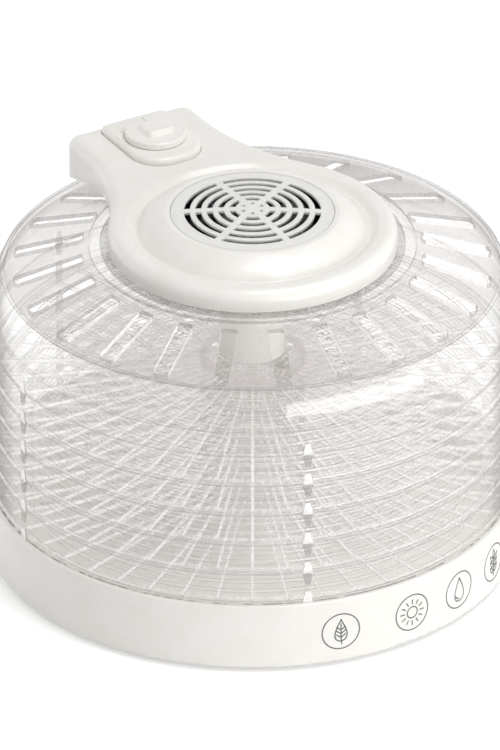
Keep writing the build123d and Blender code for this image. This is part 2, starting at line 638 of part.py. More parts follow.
# Head bottom cover: plate that follows the lid, with the spigot that centres the head
with BuildPart() as head_bottom_cover:
    with BuildSketch(Plane.XZ):
        draw_section(underside(0) + underside(COVER_PLATE)[::-1])
    revolve(axis=Axis.Z)
    with BuildSketch(Plane.XY.offset(SEAT - 2 * HEAD_HEIGHT)):
        draw_head_outline(HEAD_WALL + NEST_CLEARANCE)
    extrude(amount=4 * HEAD_HEIGHT, mode=Mode.INTERSECT)
    with BuildSketch(Plane.XY.offset(SEAT - SPIGOT_DEPTH)):
        Circle(LID_HOLE_RADIUS - NEST_CLEARANCE)
        Circle(LID_HOLE_RADIUS - NEST_CLEARANCE - SPIGOT_WALL, mode=Mode.SUBTRACT)
    extrude(amount=SPIGOT_DEPTH)
    with BuildSketch(Plane.XY.offset(SEAT)):
        Circle(DUCT_MOUTH_RADIUS + NEST_CLEARANCE)
        with Locations(*around(COVER_SCREW_CIRCLE, COVER_ANGLES, 0)):
            Circle(SCREW_RADIUS + SCREW_HOLE_CLEARANCE)
        with Locations(*around(BRACKET_SCREW_CIRCLE, BRACKET_ANGLES, 0)):
            Circle(SCREW_RADIUS + PIN_CLEARANCE)
    extrude(amount=COVER_PLATE, mode=Mode.SUBTRACT)
keep(head_bottom_cover.part, "head_bottom_cover")

# Heater duct: flange, funnel and open nozzle
with BuildPart() as heater_duct:
    with BuildSketch(Plane.XZ):
        draw_section(
            [
                (DUCT_MOUTH_RADIUS - DUCT_WALL, FLANGE_TOP),
                (DUCT_FLANGE_RADIUS, FLANGE_TOP),
                (DUCT_FLANGE_RADIUS, PLATE_TOP),
                (DUCT_MOUTH_RADIUS, PLATE_TOP),
                (DUCT_RADIUS, PLATE_TOP - DUCT_FUNNEL),
                (DUCT_RADIUS, DUCT_BOTTOM),
                (DUCT_INSIDE - DUCT_LIP, DUCT_BOTTOM),
                (DUCT_INSIDE - DUCT_LIP, DUCT_BOTTOM + DUCT_LIP),
                (DUCT_INSIDE, DUCT_BOTTOM + DUCT_LIP),
                (DUCT_INSIDE, PLATE_TOP - DUCT_FUNNEL),
            ]
        )
    revolve(axis=Axis.Z)
    with BuildSketch(Plane.XY.offset(PLATE_TOP)):
        with Locations(*around(BRACKET_SCREW_CIRCLE, BRACKET_ANGLES, 0)):
            Circle(SCREW_RADIUS + PIN_CLEARANCE)
    extrude(amount=DUCT_FLANGE, mode=Mode.SUBTRACT)
keep(heater_duct.part, "heater_duct")

# Outlet guard on the lip of the nozzle
with BuildPart() as outlet_guard:
    with BuildSketch(Plane.XY.offset(DUCT_BOTTOM + DUCT_LIP)):
        Circle(DUCT_INSIDE - NEST_CLEARANCE)
        guard_span = DUCT_INSIDE - DUCT_LIP
        with GridLocations(0, 2 * GUARD_SLOT, 1, GUARD_SLOTS):
            SlotOverall(guard_span, GUARD_SLOT, mode=Mode.SUBTRACT)
    extrude(amount=GUARD_THICKNESS)
keep(outlet_guard.part, "outlet_guard")

# Heater frame: two crossed mica plates with a window for the coil
with BuildPart() as heater_frame:
    with BuildSketch(Plane.XY.offset(GUARD_TOP)):
        Rectangle(2 * (DUCT_INSIDE - NEST_CLEARANCE), MICA_THICKNESS)
        Rectangle(MICA_THICKNESS, 2 * (DUCT_INSIDE - NEST_CLEARANCE))
    extrude(amount=MICA_HEIGHT)
    with BuildSketch(Plane.XY.offset(COIL_LEVEL - COIL_SLIT / 2)):
        Circle(DUCT_INSIDE - MICA_EDGE)
        Circle(MICA_CORE_RADIUS, mode=Mode.SUBTRACT)
    extrude(amount=COIL_SLIT, mode=Mode.SUBTRACT)
keep(heater_frame.part, "heater_frame")

# Heater coil: one flat spiral of half turns that rests in the windows of the frame
with BuildPart() as heater_coil:
    coil_height = COIL_LEVEL - COIL_SLIT / 2 + COIL_WIRE_RADIUS + PIN_CLEARANCE
    coil_start = MICA_CORE_RADIUS + 2 * COIL_WIRE_RADIUS + NEST_CLEARANCE
    with BuildLine() as spiral:
        turn_from = coil_start
        for half_turn in range(COIL_HALF_TURNS):
            turn_radius = coil_start + half_turn * COIL_TURN_GAP / 2
            side = 1 if half_turn % 2 == 0 else -1
            turn_to = turn_from - side * 2 * turn_radius
            ThreePointArc(
                (turn_from, 0, coil_height),
                ((turn_from + turn_to) / 2, side * turn_radius, coil_height),
                (turn_to, 0, coil_height),
            )
            turn_from = turn_to
    with BuildSketch(Plane(origin=(coil_start, 0, coil_height), z_dir=(0, 1, 0))):
        Circle(COIL_WIRE_RADIUS)
    sweep(path=spiral.line)
keep(heater_coil.part, "heater_coil")

# Motor, hanging from its bracket
with BuildPart() as motor:
    with BuildSketch(Plane.XY.offset(FLANGE_TOP - MOTOR_HEIGHT)):
        Circle(MOTOR_RADIUS)
    extrude(amount=MOTOR_HEIGHT)
    fillet(edges().filter_by(GeomType.CIRCLE), MOTOR_ROUND)
    with BuildSketch(Plane.XY.offset(FLANGE_TOP)):
        Circle(SHAFT_RADIUS + PIN_CLEARANCE)
    extrude(amount=-SHAFT_IN_MOTOR, mode=Mode.SUBTRACT)
keep(motor.part, "motor")

# Motor bracket: hub and arms across the mouth of the duct
with BuildPart() as motor_bracket:
    with BuildSketch(Plane.XY.offset(FLANGE_TOP)):
        Circle(BRACKET_HUB_RADIUS)
        with Locations(*around(0, BRACKET_ANGLES, 0)):
            Rectangle(DUCT_FLANGE_RADIUS, BRACKET_ARM_WIDTH, align=(Align.MIN, Align.CENTER))
        Circle(SHAFT_RADIUS + SCREW_HOLE_CLEARANCE, mode=Mode.SUBTRACT)
        with Locations(*around(BRACKET_SCREW_CIRCLE, BRACKET_ANGLES, 0)):
            Circle(SCREW_RADIUS + PIN_CLEARANCE, mode=Mode.SUBTRACT)
    extrude(amount=BRACKET_THICKNESS)
keep(motor_bracket.part, "motor_bracket")

# Motor shaft
with BuildPart() as motor_shaft:
    with BuildSketch(Plane.XY.offset(FLANGE_TOP - SHAFT_IN_MOTOR)):
        Circle(SHAFT_RADIUS)
    extrude(amount=SHAFT_IN_MOTOR + BRACKET_THICKNESS + FAN_LIFT + FAN_HUB_HEIGHT - FAN_CAP)
keep(motor_shaft.part, "motor_shaft")

# Fan impeller: hub and pitched blades
with BuildPart() as fan_impeller:
    with BuildSketch(Plane.XY.offset(FAN_BOTTOM)):
        Circle(FAN_HUB_RADIUS)
    extrude(amount=FAN_HUB_HEIGHT)
    with Locations((0, 0, FAN_BOTTOM + FAN_HUB_HEIGHT / 2)):
        with PolarLocations(0, FAN_BLADES):
            Box(
                FAN_RADIUS,
                FAN_BLADE_WIDTH,
                FAN_BLADE_THICKNESS,
                rotation=(FAN_BLADE_PITCH, 0, 0),
                align=(Align.MIN, Align.CENTER, Align.CENTER),
            )
    with BuildSketch(Plane.XY.offset(FAN_BOTTOM)):
        Circle(FAN_RADIUS)
    extrude(amount=FAN_HUB_HEIGHT, mode=Mode.INTERSECT)
    with BuildSketch(Plane.XY.offset(FAN_BOTTOM)):
        Circle(SHAFT_RADIUS + PIN_CLEARANCE)
    extrude(amount=FAN_HUB_HEIGHT - FAN_CAP, mode=Mode.SUBTRACT)
keep(fan_impeller.part, "fan_impeller")

# Thermal cutoff and terminal block on the bottom cover
with BuildPart() as thermal_cutoff:
    with BuildSketch(Plane.XY.offset(PLATE_TOP)):
        with Locations((0, -FITTING_RADIUS)):
            RectangleRounded(CUTOFF_LENGTH, CUTOFF_WIDTH, CUTOFF_CORNER)
    extrude(amount=CUTOFF_HEIGHT)
keep(thermal_cutoff.part, "thermal_cutoff")

with BuildPart() as terminal_block:
    with BuildSketch(Plane.XY.offset(PLATE_TOP)):
        with Locations((0, FITTING_RADIUS)):
            Rectangle(BLOCK_LENGTH, BLOCK_WIDTH)
    extrude(amount=BLOCK_HEIGHT)
    with BuildSketch(Plane.XY.offset(PLATE_TOP + BLOCK_HEIGHT)):
        with Locations((0, FITTING_RADIUS)):
            with GridLocations(BLOCK_LENGTH / BLOCK_POLES, BLOCK_WIDTH / 2, BLOCK_POLES, 2):
                Circle(SCREW_RADIUS)
    extrude(amount=-BLOCK_HEIGHT / 2, mode=Mode.SUBTRACT)
keep(terminal_block.part, "terminal_block")

# Cord gland in the end wall of the handle
with BuildPart() as cord_gland:
    with BuildSketch(Plane.XZ.offset(-HANDLE_END)):
        with Locations((0, GLAND_LEVEL)):
            Circle(GLAND_FLANGE_RADIUS)
    extrude(amount=-GLAND_FLANGE)
    with BuildSketch(Plane.XZ.offset(-HANDLE_END)):
        with Locations((0, GLAND_LEVEL)):
            Circle(GLAND_RADIUS)
    extrude(amount=HEAD_WALL + GLAND_NOSE)
    with BuildSketch(Plane.XZ.offset(-HANDLE_END)):
        with Locations((0, GLAND_LEVEL)):
            Circle(GLAND_BORE)
    extrude(amount=2 * GLAND_NOSE + HEAD_WALL, both=True, mode=Mode.SUBTRACT)
keep(cord_gland.part, "cord_gland")

# Screws from below into the bosses of the top cover
with BuildPart() as cover_screws:
    with BuildSketch(Plane.XY.offset(SEAT)):
        with Locations(*around(COVER_SCREW_CIRCLE, COVER_ANGLES, 0)):
            Circle(SCREW_HEAD_RADIUS)
    extrude(amount=-SCREW_HEAD)
    with BuildSketch(Plane.XY.offset(SEAT)):
        with Locations(*around(COVER_SCREW_CIRCLE, COVER_ANGLES, 0)):
            Circle(SCREW_RADIUS)
    extrude(amount=COVER_PLATE + BOSS_HOLE_DEPTH - SCREW_HOLE_CLEARANCE)
keep(cover_screws.part, "cover_screws")

# Screws from above through the bracket, the duct flange and the plate
with BuildPart() as bracket_screws:
    with BuildSketch(Plane.XY.offset(BRACKET_TOP)):
        with Locations(*around(BRACKET_SCREW_CIRCLE, BRACKET_ANGLES, 0)):
            Circle(SCREW_HEAD_RADIUS)
    extrude(amount=SCREW_HEAD)
    with BuildSketch(Plane.XY.offset(BRACKET_TOP)):
        with Locations(*around(BRACKET_SCREW_CIRCLE, BRACKET_ANGLES, 0)):
            Circle(SCREW_RADIUS)
    extrude(amount=SEAT - BRACKET_TOP)
keep(bracket_screws.part, "bracket_screws")
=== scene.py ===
"""Looks of the round food dehydrator: white base, five clear trays, clear lid and white power head."""
import math

import bmesh
import bpy
import numpy as np
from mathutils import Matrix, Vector


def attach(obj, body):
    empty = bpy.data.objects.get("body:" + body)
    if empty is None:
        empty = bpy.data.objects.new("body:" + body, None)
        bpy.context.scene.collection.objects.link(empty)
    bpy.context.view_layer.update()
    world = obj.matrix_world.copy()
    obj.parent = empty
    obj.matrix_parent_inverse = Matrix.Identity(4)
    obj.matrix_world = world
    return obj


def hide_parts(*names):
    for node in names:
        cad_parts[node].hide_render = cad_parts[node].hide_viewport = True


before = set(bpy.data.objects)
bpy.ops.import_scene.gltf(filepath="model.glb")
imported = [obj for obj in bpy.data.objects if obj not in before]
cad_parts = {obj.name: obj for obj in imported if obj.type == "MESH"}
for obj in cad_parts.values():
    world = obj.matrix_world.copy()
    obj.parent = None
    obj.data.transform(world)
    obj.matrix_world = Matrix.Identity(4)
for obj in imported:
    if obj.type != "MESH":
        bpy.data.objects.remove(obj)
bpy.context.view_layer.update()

MM = 0.001

# Stack, in millimetres
BASE_RADIUS = 163.0
BASE_TOP = 46.0
TRAY_COUNT = 5
TRAY_PITCH = 20.5
TRAY_RADIUS = 160.5
TRAY_INSIDE = 157.5
TRAY_SUNK_BAND = 159.5
TRAY_BAND_LOW = 4.0
TRAY_BAND_HIGH = 15.0
TRAY_BAND_SLOPE = 1.0
TRAY_LEDGE_RADIUS = 153.5
TRAY_LEDGE_TOP = -1.0
NEST_RADIUS = 158.6
NEST_DEPTH = 3.0
NEST_FLOOR = 17.2
FOOT_RING_RADIUS = 158.3
KEY_COUNT = 5
KEY_TURN = 36.0
KEY_WIDTH = 6.5
KEY_TIP_WIDTH = 3.0
KEY_HEIGHT = 8.0
KEY_PROUD = 0.6
KEY_ROOT = 0.3
KEY_GAP = 0.2

# Faces of one key, and the number of the one that looks outward
KEY_FACES = 6
KEY_FRONT = 3

# Tray floor
FLOOR_THICKNESS = 2.0
COLLAR_RADIUS = 30.0
COLLAR_WALL = 2.0
COLLAR_HEIGHT = 6.0
FLOOR_RINGS = 12
FLOOR_RIBS = 45
FLOOR_BAR = 2.2
FLOOR_BAR_HEIGHT = 1.4
FLOOR_RING_STEPS = 120
FLOOR_RIB = 1.8

# Faces of the grating over this many square millimetres belong to ribs
RIB_FACE = 100.0

# Lid
LID_BOTTOM = 148.5
LID_SKIRT_TOP = 167.5
LID_RIM_RADIUS = 153.5
LID_RIM = 190.5
LID_WALL = 2.4
LID_BEAD_HEIGHT = 1.5
LID_BEAD_WIDTH = 2.2
LID_LIP_RADIUS = 100.0
LID_LIP_INSIDE = 93.0
LID_LIP_TOP = 209.0
LID_SEAT = 206.5
LID_HOLE_RADIUS = 79.0
LID_SHOULDER_BULGE = 1.8
LID_SHOULDER_STEPS = 10
LID_GROOVE_DEPTH = 0.8
LID_GROOVE_BOTTOM = 2.5
LID_GROOVE_LOW = 1.7
LID_GROOVE_HIGH = 0.6
VENT_COUNT = 24
VENT_TURN = 7.5
VENT_WIDTH = 10.0
VENT_INSIDE = 104.0
VENT_OUTSIDE = 146.3
VENT_CORNER = 2.0
VENT_CORNER_STEPS = 4
VENT_SLIVER = 0.05

# Columns of points across a vent, and steps across the web between two vents
VENT_COLUMNS = 3
WEB_COLUMNS = 5

# Vents this far forward of the middle have walls with a painted glow
LIT_DEPTH = 20.0

# Share of the light that the clear plastic mirrors, looked at squarely and along the surface
MIRROR_LEAST = 0.05
MIRROR_MOST = 0.55

# Clear polystyrene: slow waves of its surface and fine specks of its haze, with lengths in millimetres
STYRENE_IOR = 1.59
STYRENE_ROUGHNESS = 0.03
HAZE_ROUGHNESS = 0.3
WAVE_LENGTH = 14.0
WAVE_DETAIL = 2.0
WAVE_STRENGTH = 0.012
WAVE_DEPTH = 0.6
SPECK_LENGTH = 3.0
SPECK_DETAIL = 3.0
SPECK_LOW = 0.3
SPECK_HIGH = 0.7
TONE_LOW = 0.35
TONE_HIGH = 0.65
FACING_BLEND = 0.5
GRAZING_POWER = 5.0
# Painted shade: from this facing on, the clear wall darkens towards the grazing shade tint
DARKENING_START = 0.65
CLEAR_TINT = "#FFFFFF"
GRAZING_SHADE_TINT = "#989390"
LAMP_TINT = "#FAFAFA"

# Grain of the solid materials: its fineness, its contrast and how far gloss and relief follow it
GRAIN_DETAIL = 4.0
GRAIN_ROUGHNESS = 0.6
GRAIN_LOW = 0.3
GRAIN_HIGH = 0.7
GLOSS_SPREAD = 0.15
RELIEF_SHARE = 0.25

# Roundings and steps of the clear mouldings, with lengths in millimetres and turns in degrees
MOULD_EDGE = 0.45
EDGE_LEAN = 0.3
SEAM_BAND = 2.0
EDGE_REACH = 1.0
TURN_STEPS = 192
ROUND_STEPS = 3
STRAIGHT_TURN = 170.0
SIDE_SHARE = 0.45
SHARP_TURN = 40.0
WELD = 0.01

# How far light soaks into thin white plastic
SCATTER_DEPTH = 3.0

# Lengths closer than this are the same
NEAR = 0.001

# Ink badges printed on the base
BADGE_BEARINGS = (-100.8, -83.5, -69.5, -55.5)
BADGE_LEVEL = 24.0
BADGE_RING = 12.0
STROKE_WIDTH = 0.8
STROKE_INSIDE = 162.9
STROKE_OUTSIDE = 163.06
STROKE_CORNERS = 4
CIRCLE_STEPS = 64
CURVE_STEPS = 32
DROP_TAPER = 1.5

# Scale beside the knob
KNOB_CENTRE = 119.0
PANEL_TOP = 226.0
RIDGE_COUNT = 6
RIDGE_START = 96.0
RIDGE_STEP = 8.0
RIDGE_INSIDE = 19.9
RIDGE_OUTSIDE = 22.6
RIDGE_WIDTH = 0.9
MARK_BEARING = 157.0
MARK_OUTSIDE = 23.4
MARK_WIDTH = 2.2
RIDGE_TAPER = 0.2
RIDGE_HEIGHT = 0.5
RIDGE_ROOT = 0.1

# Light of the room on the object, white where it is seen, and the paper that it stands on
ROOM_LIGHT = 0.455
ROOM_WHITE = 1.0
PAPER_LIFT = 0.36
PAPER_REACH = 4000.0
FIBRE_LENGTH = 2.0

# Camera, in metres and degrees, with its sensor in millimetres: a long lens, not quite 30 degrees up
CAMERA_AZIMUTH = -30.0
CAMERA_ELEVATION = 29.3
CAMERA_DISTANCE = 9.0
CAMERA_SIGHT = 50.0
CAMERA_AIM = (-0.0013, 0.0008, 0.1155)
PICTURE_HEIGHT = 0.4587
SENSOR_WIDTH = 36.0

# Clear walls that one line of sight may pass
CLEAR_WALLS = 128


def linear(hex_colour):
    """Linear colour of an sRGB hex value."""
    channels = [int(hex_colour[start : start + 2], 16) / 255 for start in (1, 3, 5)]
    return tuple(c / 12.92 if c <= 0.04045 else ((c + 0.055) / 1.055) ** 2.4 for c in channels) + (1.0,)


def add_node(tree, kind, sockets=None, **settings):
    """Adds one node. Each named or numbered socket takes a value, or the output that feeds it."""
    node = tree.nodes.new(kind)
    for name, value in settings.items():
        setattr(node, name, value)
    for key, value in (sockets or {}).items():
        socket = node.inputs[key]
        if isinstance(value, bpy.types.NodeSocket):
            tree.links.new(value, socket)
        else:
            socket.default_value = value
    return node


def start_material(name):
    """An empty material, ready for its nodes."""
    material = bpy.data.materials.new(name)
    material.use_nodes = True
    material.node_tree.nodes.clear()
    return material


def grained_material(
    name, light, dark, grain, roughness, metallic=0.0, ior=1.5, bump=0.0, scatter=0.0, upward_shade=None
):
    """A solid material whose colour, gloss and surface vary with a grain of so many millimetres.

    Light soaks into it by the share scatter, and painted shade of the colour upward_shade covers the faces
    that look up.
    """
    material = start_material(name)
    tree = material.node_tree
    place = add_node(tree, "ShaderNodeTexCoord").outputs["Object"]
    noise = add_node(
        tree,
        "ShaderNodeTexNoise",
        {"Vector": place, "Scale": 1 / (grain * MM), "Detail": GRAIN_DETAIL, "Roughness": GRAIN_ROUGHNESS},
    ).outputs["Fac"]
    ramp = add_node(tree, "ShaderNodeValToRGB", {"Fac": noise})
    ramp.color_ramp.elements[0].position = GRAIN_LOW
    ramp.color_ramp.elements[0].color = linear(dark)
    ramp.color_ramp.elements[1].position = GRAIN_HIGH
    ramp.color_ramp.elements[1].color = linear(light)
    gloss = add_node(
        tree,
        "ShaderNodeMapRange",
        {"Value": noise, "To Min": roughness * (1 - GLOSS_SPREAD), "To Max": roughness * (1 + GLOSS_SPREAD)},
    ).outputs["Result"]
    relief = add_node(
        tree, "ShaderNodeBump", {"Height": noise, "Strength": bump, "Distance": grain * MM * RELIEF_SHARE}
    )
    colour = ramp.outputs["Color"]
    # Painted shade: the faces that look up take a dark colour
    if upward_shade:
        normal = add_node(tree, "ShaderNodeNewGeometry").outputs["Normal"]
        rise = add_node(tree, "ShaderNodeSeparateXYZ", {"Vector": normal}).outputs["Z"]
        upward = add_node(tree, "ShaderNodeMath", {0: rise, 1: EDGE_LEAN}, operation="GREATER_THAN")
        shaded_colour = add_node(
            tree,
            "ShaderNodeMix",
            {"Factor": upward.outputs[0], 6: colour, 7: linear(upward_shade)},
            data_type="RGBA",
        )
        colour = shaded_colour.outputs[2]
    shader = add_node(
        tree,
        "ShaderNodeBsdfPrincipled",
        {
            "Base Color": colour,
            "Subsurface Weight": scatter,
            "Subsurface Radius": (1.0, 1.0, 1.0),
            "Subsurface Scale": SCATTER_DEPTH * MM,
            "Roughness": gloss,
            "Metallic": metallic,
            "Normal": relief.outputs["Normal"],
        },
    )
    if metallic == 0:
        shader.inputs["IOR"].default_value = ior
    add_node(tree, "ShaderNodeOutputMaterial", {"Surface": shader.outputs["BSDF"]})
    return material


# ABS, injection moulded in a polished tool: a warm even white, a soft broad gloss and a faint unevenness
abs_look = {"light": "#F1EFEB", "dark": "#ECEAE4", "grain": 22, "roughness": 0.24, "ior": 1.53, "bump": 0.03}
white_abs = grained_material("white_abs_moulded", **abs_look)
# The same ABS in the thin bars of the grille, where light soaks through: their shaded sides stay pale
thin_abs = grained_material("white_abs_thin_bars", **abs_look, scatter=1.0)
# The same ABS with black painted shade on the faces that look up into the head, so that it is dark behind
# the grille
abs_shaded_inside = grained_material("white_abs_painted_shade_black", **abs_look, upward_shade="#121212")
# Thermoplastic rubber, moulded pale: off-white and matt with a fine dusty grain
foot_rubber = grained_material(
    "pale_rubber_moulded", "#D2D0CB", "#C4C2BD", grain=1.5, roughness=0.75, ior=1.52, bump=0.15
)
# Soft vinyl, moulded: near black with a dull sheen
gland_rubber = grained_material(
    "black_vinyl_moulded", "#242424", "#1A1A1A", grain=1.5, roughness=0.6, ior=1.52, bump=0.1
)
# Steel, turned and bright: mirror-like with fine turning marks
bright_steel = grained_material(
    "bright_steel_turned", "#C9C9CB", "#AFAFB2", grain=0.8, roughness=0.28, metallic=1.0, bump=0.05
)
# Sheet steel, sprayed: satin grey paint with a light orange-peel
motor_paint = grained_material(
    "grey_paint_sprayed", "#6A6C6E", "#5F6163", grain=1.2, roughness=0.4, bump=0.08
)
# Zinc plate on stamped steel: pale grey metal with cloudy spangle
zinc_plate = grained_material(
    "zinc_plated_steel", "#D3D5D7", "#B4B7BA", grain=6, roughness=0.35, metallic=1.0, bump=0.03
)
# Glass-filled nylon, moulded: black and matt with a fine grain
black_nylon = grained_material(
    "black_nylon_moulded", "#1B1B1B", "#141414", grain=1.0, roughness=0.55, ior=1.53, bump=0.1
)
# Phenolic, compression moulded: dark brown with a mottled filler
dark_phenolic = grained_material(
    "brown_phenolic_moulded", "#46372C", "#32261E", grain=2, roughness=0.5, ior=1.6, bump=0.08
)
# Nylon, moulded: cream, a little waxy
cream_nylon = grained_material(
    "cream_nylon_moulded", "#E4DCC4", "#DAD0B4", grain=3, roughness=0.45, ior=1.53, bump=0.05
)
# Steatite, fired without glaze: chalky off-white
pale_ceramic = grained_material(
    "steatite_fired", "#E4E0D6", "#D6D1C4", grain=1.2, roughness=0.7, ior=1.6, bump=0.12
)
# Mica, pressed sheet: golden grey flakes
mica_sheet = grained_material(
    "mica_pressed", "#B3A27E", "#8C7C5C", grain=3, roughness=0.35, ior=1.58, bump=0.15
)
# Nickel-chrome wire, drawn and oxidised: dull brown-grey metal
heater_wire = grained_material(
    "nichrome_drawn", "#8A8078", "#6C635C", grain=0.8, roughness=0.4, metallic=1.0, bump=0.05
)
# Pad-printing ink: thin matt grey that covers unevenly
grey_ink = grained_material("grey_ink_printed", "#6E6D70", "#5A595C", grain=1.2, roughness=0.6, bump=0.04)


def clear_material(name, light, dark, haze_least, haze_most, glow=0.0):
    """Clear plastic in thin walls: seen through straight, with painted shade where it is looked along, with
    a haze.

    The haze has a share of the surface that varies between its least and its most, and may glow by itself:
    a painted glow that stands for the light that runs inside the wall.
    """
    material = start_material(name)
    tree = material.node_tree
    place = add_node(tree, "ShaderNodeTexCoord").outputs["Object"]
    waves = add_node(
        tree,
        "ShaderNodeTexNoise",
        {"Vector": place, "Scale": 1 / (WAVE_LENGTH * MM), "Detail": WAVE_DETAIL},
    ).outputs["Fac"]
    specks = add_node(
        tree,
        "ShaderNodeTexNoise",
        {"Vector": place, "Scale": 1 / (SPECK_LENGTH * MM), "Detail": SPECK_DETAIL},
    ).outputs["Fac"]
    relief = add_node(
        tree, "ShaderNodeBump", {"Height": waves, "Strength": WAVE_STRENGTH, "Distance": WAVE_DEPTH * MM}
    ).outputs["Normal"]
    facing = add_node(
        tree, "ShaderNodeLayerWeight", {"Blend": FACING_BLEND, "Normal": relief}
    ).outputs["Facing"]
    grazing = add_node(tree, "ShaderNodeMath", {0: facing, 1: GRAZING_POWER}, operation="POWER").outputs[0]
    mirror = add_node(
        tree, "ShaderNodeMapRange", {"Value": grazing, "To Min": MIRROR_LEAST, "To Max": MIRROR_MOST}
    ).outputs["Result"]
    # Painted shade where the wall is looked along
    grazing_shade = add_node(tree, "ShaderNodeValToRGB", {"Fac": facing})
    grazing_shade.color_ramp.elements[0].position = DARKENING_START
    grazing_shade.color_ramp.elements[0].color = linear(CLEAR_TINT)
    grazing_shade.color_ramp.elements[1].color = linear(GRAZING_SHADE_TINT)
    through = add_node(tree, "ShaderNodeBsdfTransparent", {"Color": grazing_shade.outputs["Color"]})
    tone = add_node(tree, "ShaderNodeValToRGB", {"Fac": specks})
    tone.color_ramp.elements[0].position = TONE_LOW
    tone.color_ramp.elements[0].color = linear(dark)
    tone.color_ramp.elements[1].position = TONE_HIGH
    tone.color_ramp.elements[1].color = linear(light)
    milk = add_node(
        tree,
        "ShaderNodeBsdfPrincipled",
        {
            "Base Color": tone.outputs["Color"],
            "Roughness": HAZE_ROUGHNESS,
            "IOR": STYRENE_IOR,
            "Normal": relief,
            "Emission Color": tone.outputs["Color"],
            "Emission Strength": glow,
        },
    )
    haze = add_node(
        tree,
        "ShaderNodeMapRange",
        {
            "Value": specks,
            "From Min": SPECK_LOW,
            "From Max": SPECK_HIGH,
            "To Min": haze_least,
            "To Max": haze_most,
        },
    ).outputs["Result"]
    body = add_node(
        tree, "ShaderNodeMixShader", {"Fac": haze, 1: through.outputs["BSDF"], 2: milk.outputs["BSDF"]}
    )
    gloss = add_node(tree, "ShaderNodeBsdfAnisotropic", {"Roughness": STYRENE_ROUGHNESS, "Normal": relief})
    surface = add_node(
        tree, "ShaderNodeMixShader", {"Fac": mirror, 1: body.outputs["Shader"], 2: gloss.outputs["BSDF"]}
    )
    lamp_pass = add_node(tree, "ShaderNodeBsdfTransparent", {"Color": linear(LAMP_TINT)})
    ray = add_node(tree, "ShaderNodeLightPath").outputs
    lit = add_node(
        tree,
        "ShaderNodeMixShader",
        {"Fac": ray["Is Shadow Ray"], 1: surface.outputs["Shader"], 2: lamp_pass.outputs["BSDF"]},
    )
    add_node(tree, "ShaderNodeOutputMaterial", {"Surface": lit.outputs["Shader"]})
    return material


# General-purpose polystyrene, injection moulded clear in a polished tool: colourless, with a gloss that
# mirrors the softboxes and a slow waviness. Lamps pass through it straight, because its walls are thin.
# Its haze carries a faint painted glow
clear_polystyrene = clear_material(
    "clear_polystyrene_moulded", "#F8F6F5", "#EEEBE9", haze_least=0.035, haze_most=0.07, glow=0.25
)
# The same polystyrene at cut edges, where light that runs inside the wall comes out: a painted white glow
clear_edge = clear_material(
    "clear_polystyrene_edges", "#FDFCFB", "#F6F4F3", haze_least=0.4, haze_most=0.6, glow=0.3
)
# Ribs of the floors and steps of the walls in the same polystyrene: a weaker painted glow of the same kind
clear_rib = clear_material(
    "clear_polystyrene_ribs", "#F8F6F5", "#EEEBE9", haze_least=0.2, haze_most=0.34, glow=0.25
)
# Inner corners of the same polystyrene, which turn light away: thin grey lines of painted shade
clear_corner = clear_material(
    "clear_polystyrene_corners", "#A19C99", "#8C8784", haze_least=0.42, haze_most=0.55
)
# Seams where two mouldings meet, which let some light by: paler grey lines
clear_seam = clear_material(
    "clear_polystyrene_seams", "#B2ADAA", "#9A9592", haze_least=0.16, haze_most=0.3
)
# Polystyrene of the lid's top and the trays' collars: a thin grey veil over what lies behind, with a painted
# glow; on the collars the grey is painted shade below the duct
clear_veil = clear_material(
    "clear_polystyrene_veiled", "#A39E9B", "#958F8C", haze_least=0.2, haze_most=0.3, glow=0.75
)

clear_kinds = (clear_polystyrene, clear_rib, clear_seam, clear_corner, clear_edge, clear_veil)
PLAIN, RIB, SEAM, CORNER, EDGE, VEIL = range(len(clear_kinds))

node_finish = {
    "base_pan": white_abs,
    "base_feet": foot_rubber,
    "head_top_cover": white_abs,
    "control_panel": white_abs,
    "control_knob": white_abs,
    "control_spindle": bright_steel,
    "thermostat": dark_phenolic,
    "air_inlet_grille": thin_abs,
    "head_bottom_cover": abs_shaded_inside,
    "heater_duct": abs_shaded_inside,
    "outlet_guard": white_abs,
    "heater_frame": mica_sheet,
    "heater_coil": heater_wire,
    "motor": motor_paint,
    "motor_bracket": zinc_plate,
    "motor_shaft": bright_steel,
    "fan_impeller": black_nylon,
    "thermal_cutoff": pale_ceramic,
    "terminal_block": cream_nylon,
    "cord_gland": gland_rubber,
    "cover_screws": bright_steel,
    "bracket_screws": bright_steel,
}
for node, material in node_finish.items():
    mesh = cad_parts[node].data
    mesh.materials.clear()
    mesh.materials.append(material)


def soften(section, radius, steps=ROUND_STEPS):
    """A closed section with each corner rounded, as far as its two sides allow."""
    rounded = []
    count = len(section)
    for index, corner in enumerate(section):
        here = Vector(corner)
        back = Vector(section[index - 1]) - here
        ahead = Vector(section[(index + 1) % count]) - here
        turn = back.angle(ahead)
        if turn > math.radians(STRAIGHT_TURN):
            rounded.append(tuple(here))
            continue
        cut = min(radius / math.tan(turn / 2), SIDE_SHARE * back.length, SIDE_SHARE * ahead.length)
        start = here + back.normalized() * cut
        end = here + ahead.normalized() * cut
        for step in range(steps + 1):
            share = step / steps
            rounded.append(tuple((1 - share) ** 2 * start + 2 * share * (1 - share) * here + share**2 * end))
    return rounded


def weigh_normals(mesh):
    """Smooth shading in which broad faces stay flat and the roundings between them do the turning."""
    mesh.polygons.foreach_set("use_smooth", [True] * len(mesh.polygons))
    normals = np.zeros((len(mesh.vertices), 3))
    for face in mesh.polygons:
        for vertex in face.vertices:
            normals[vertex] += np.array(face.normal) * face.area
    lengths = np.linalg.norm(normals, axis=1, keepdims=True)
    normals /= np.maximum(lengths, np.finfo(float).tiny)
    mesh.normals_split_custom_set_from_vertices(normals.tolist())


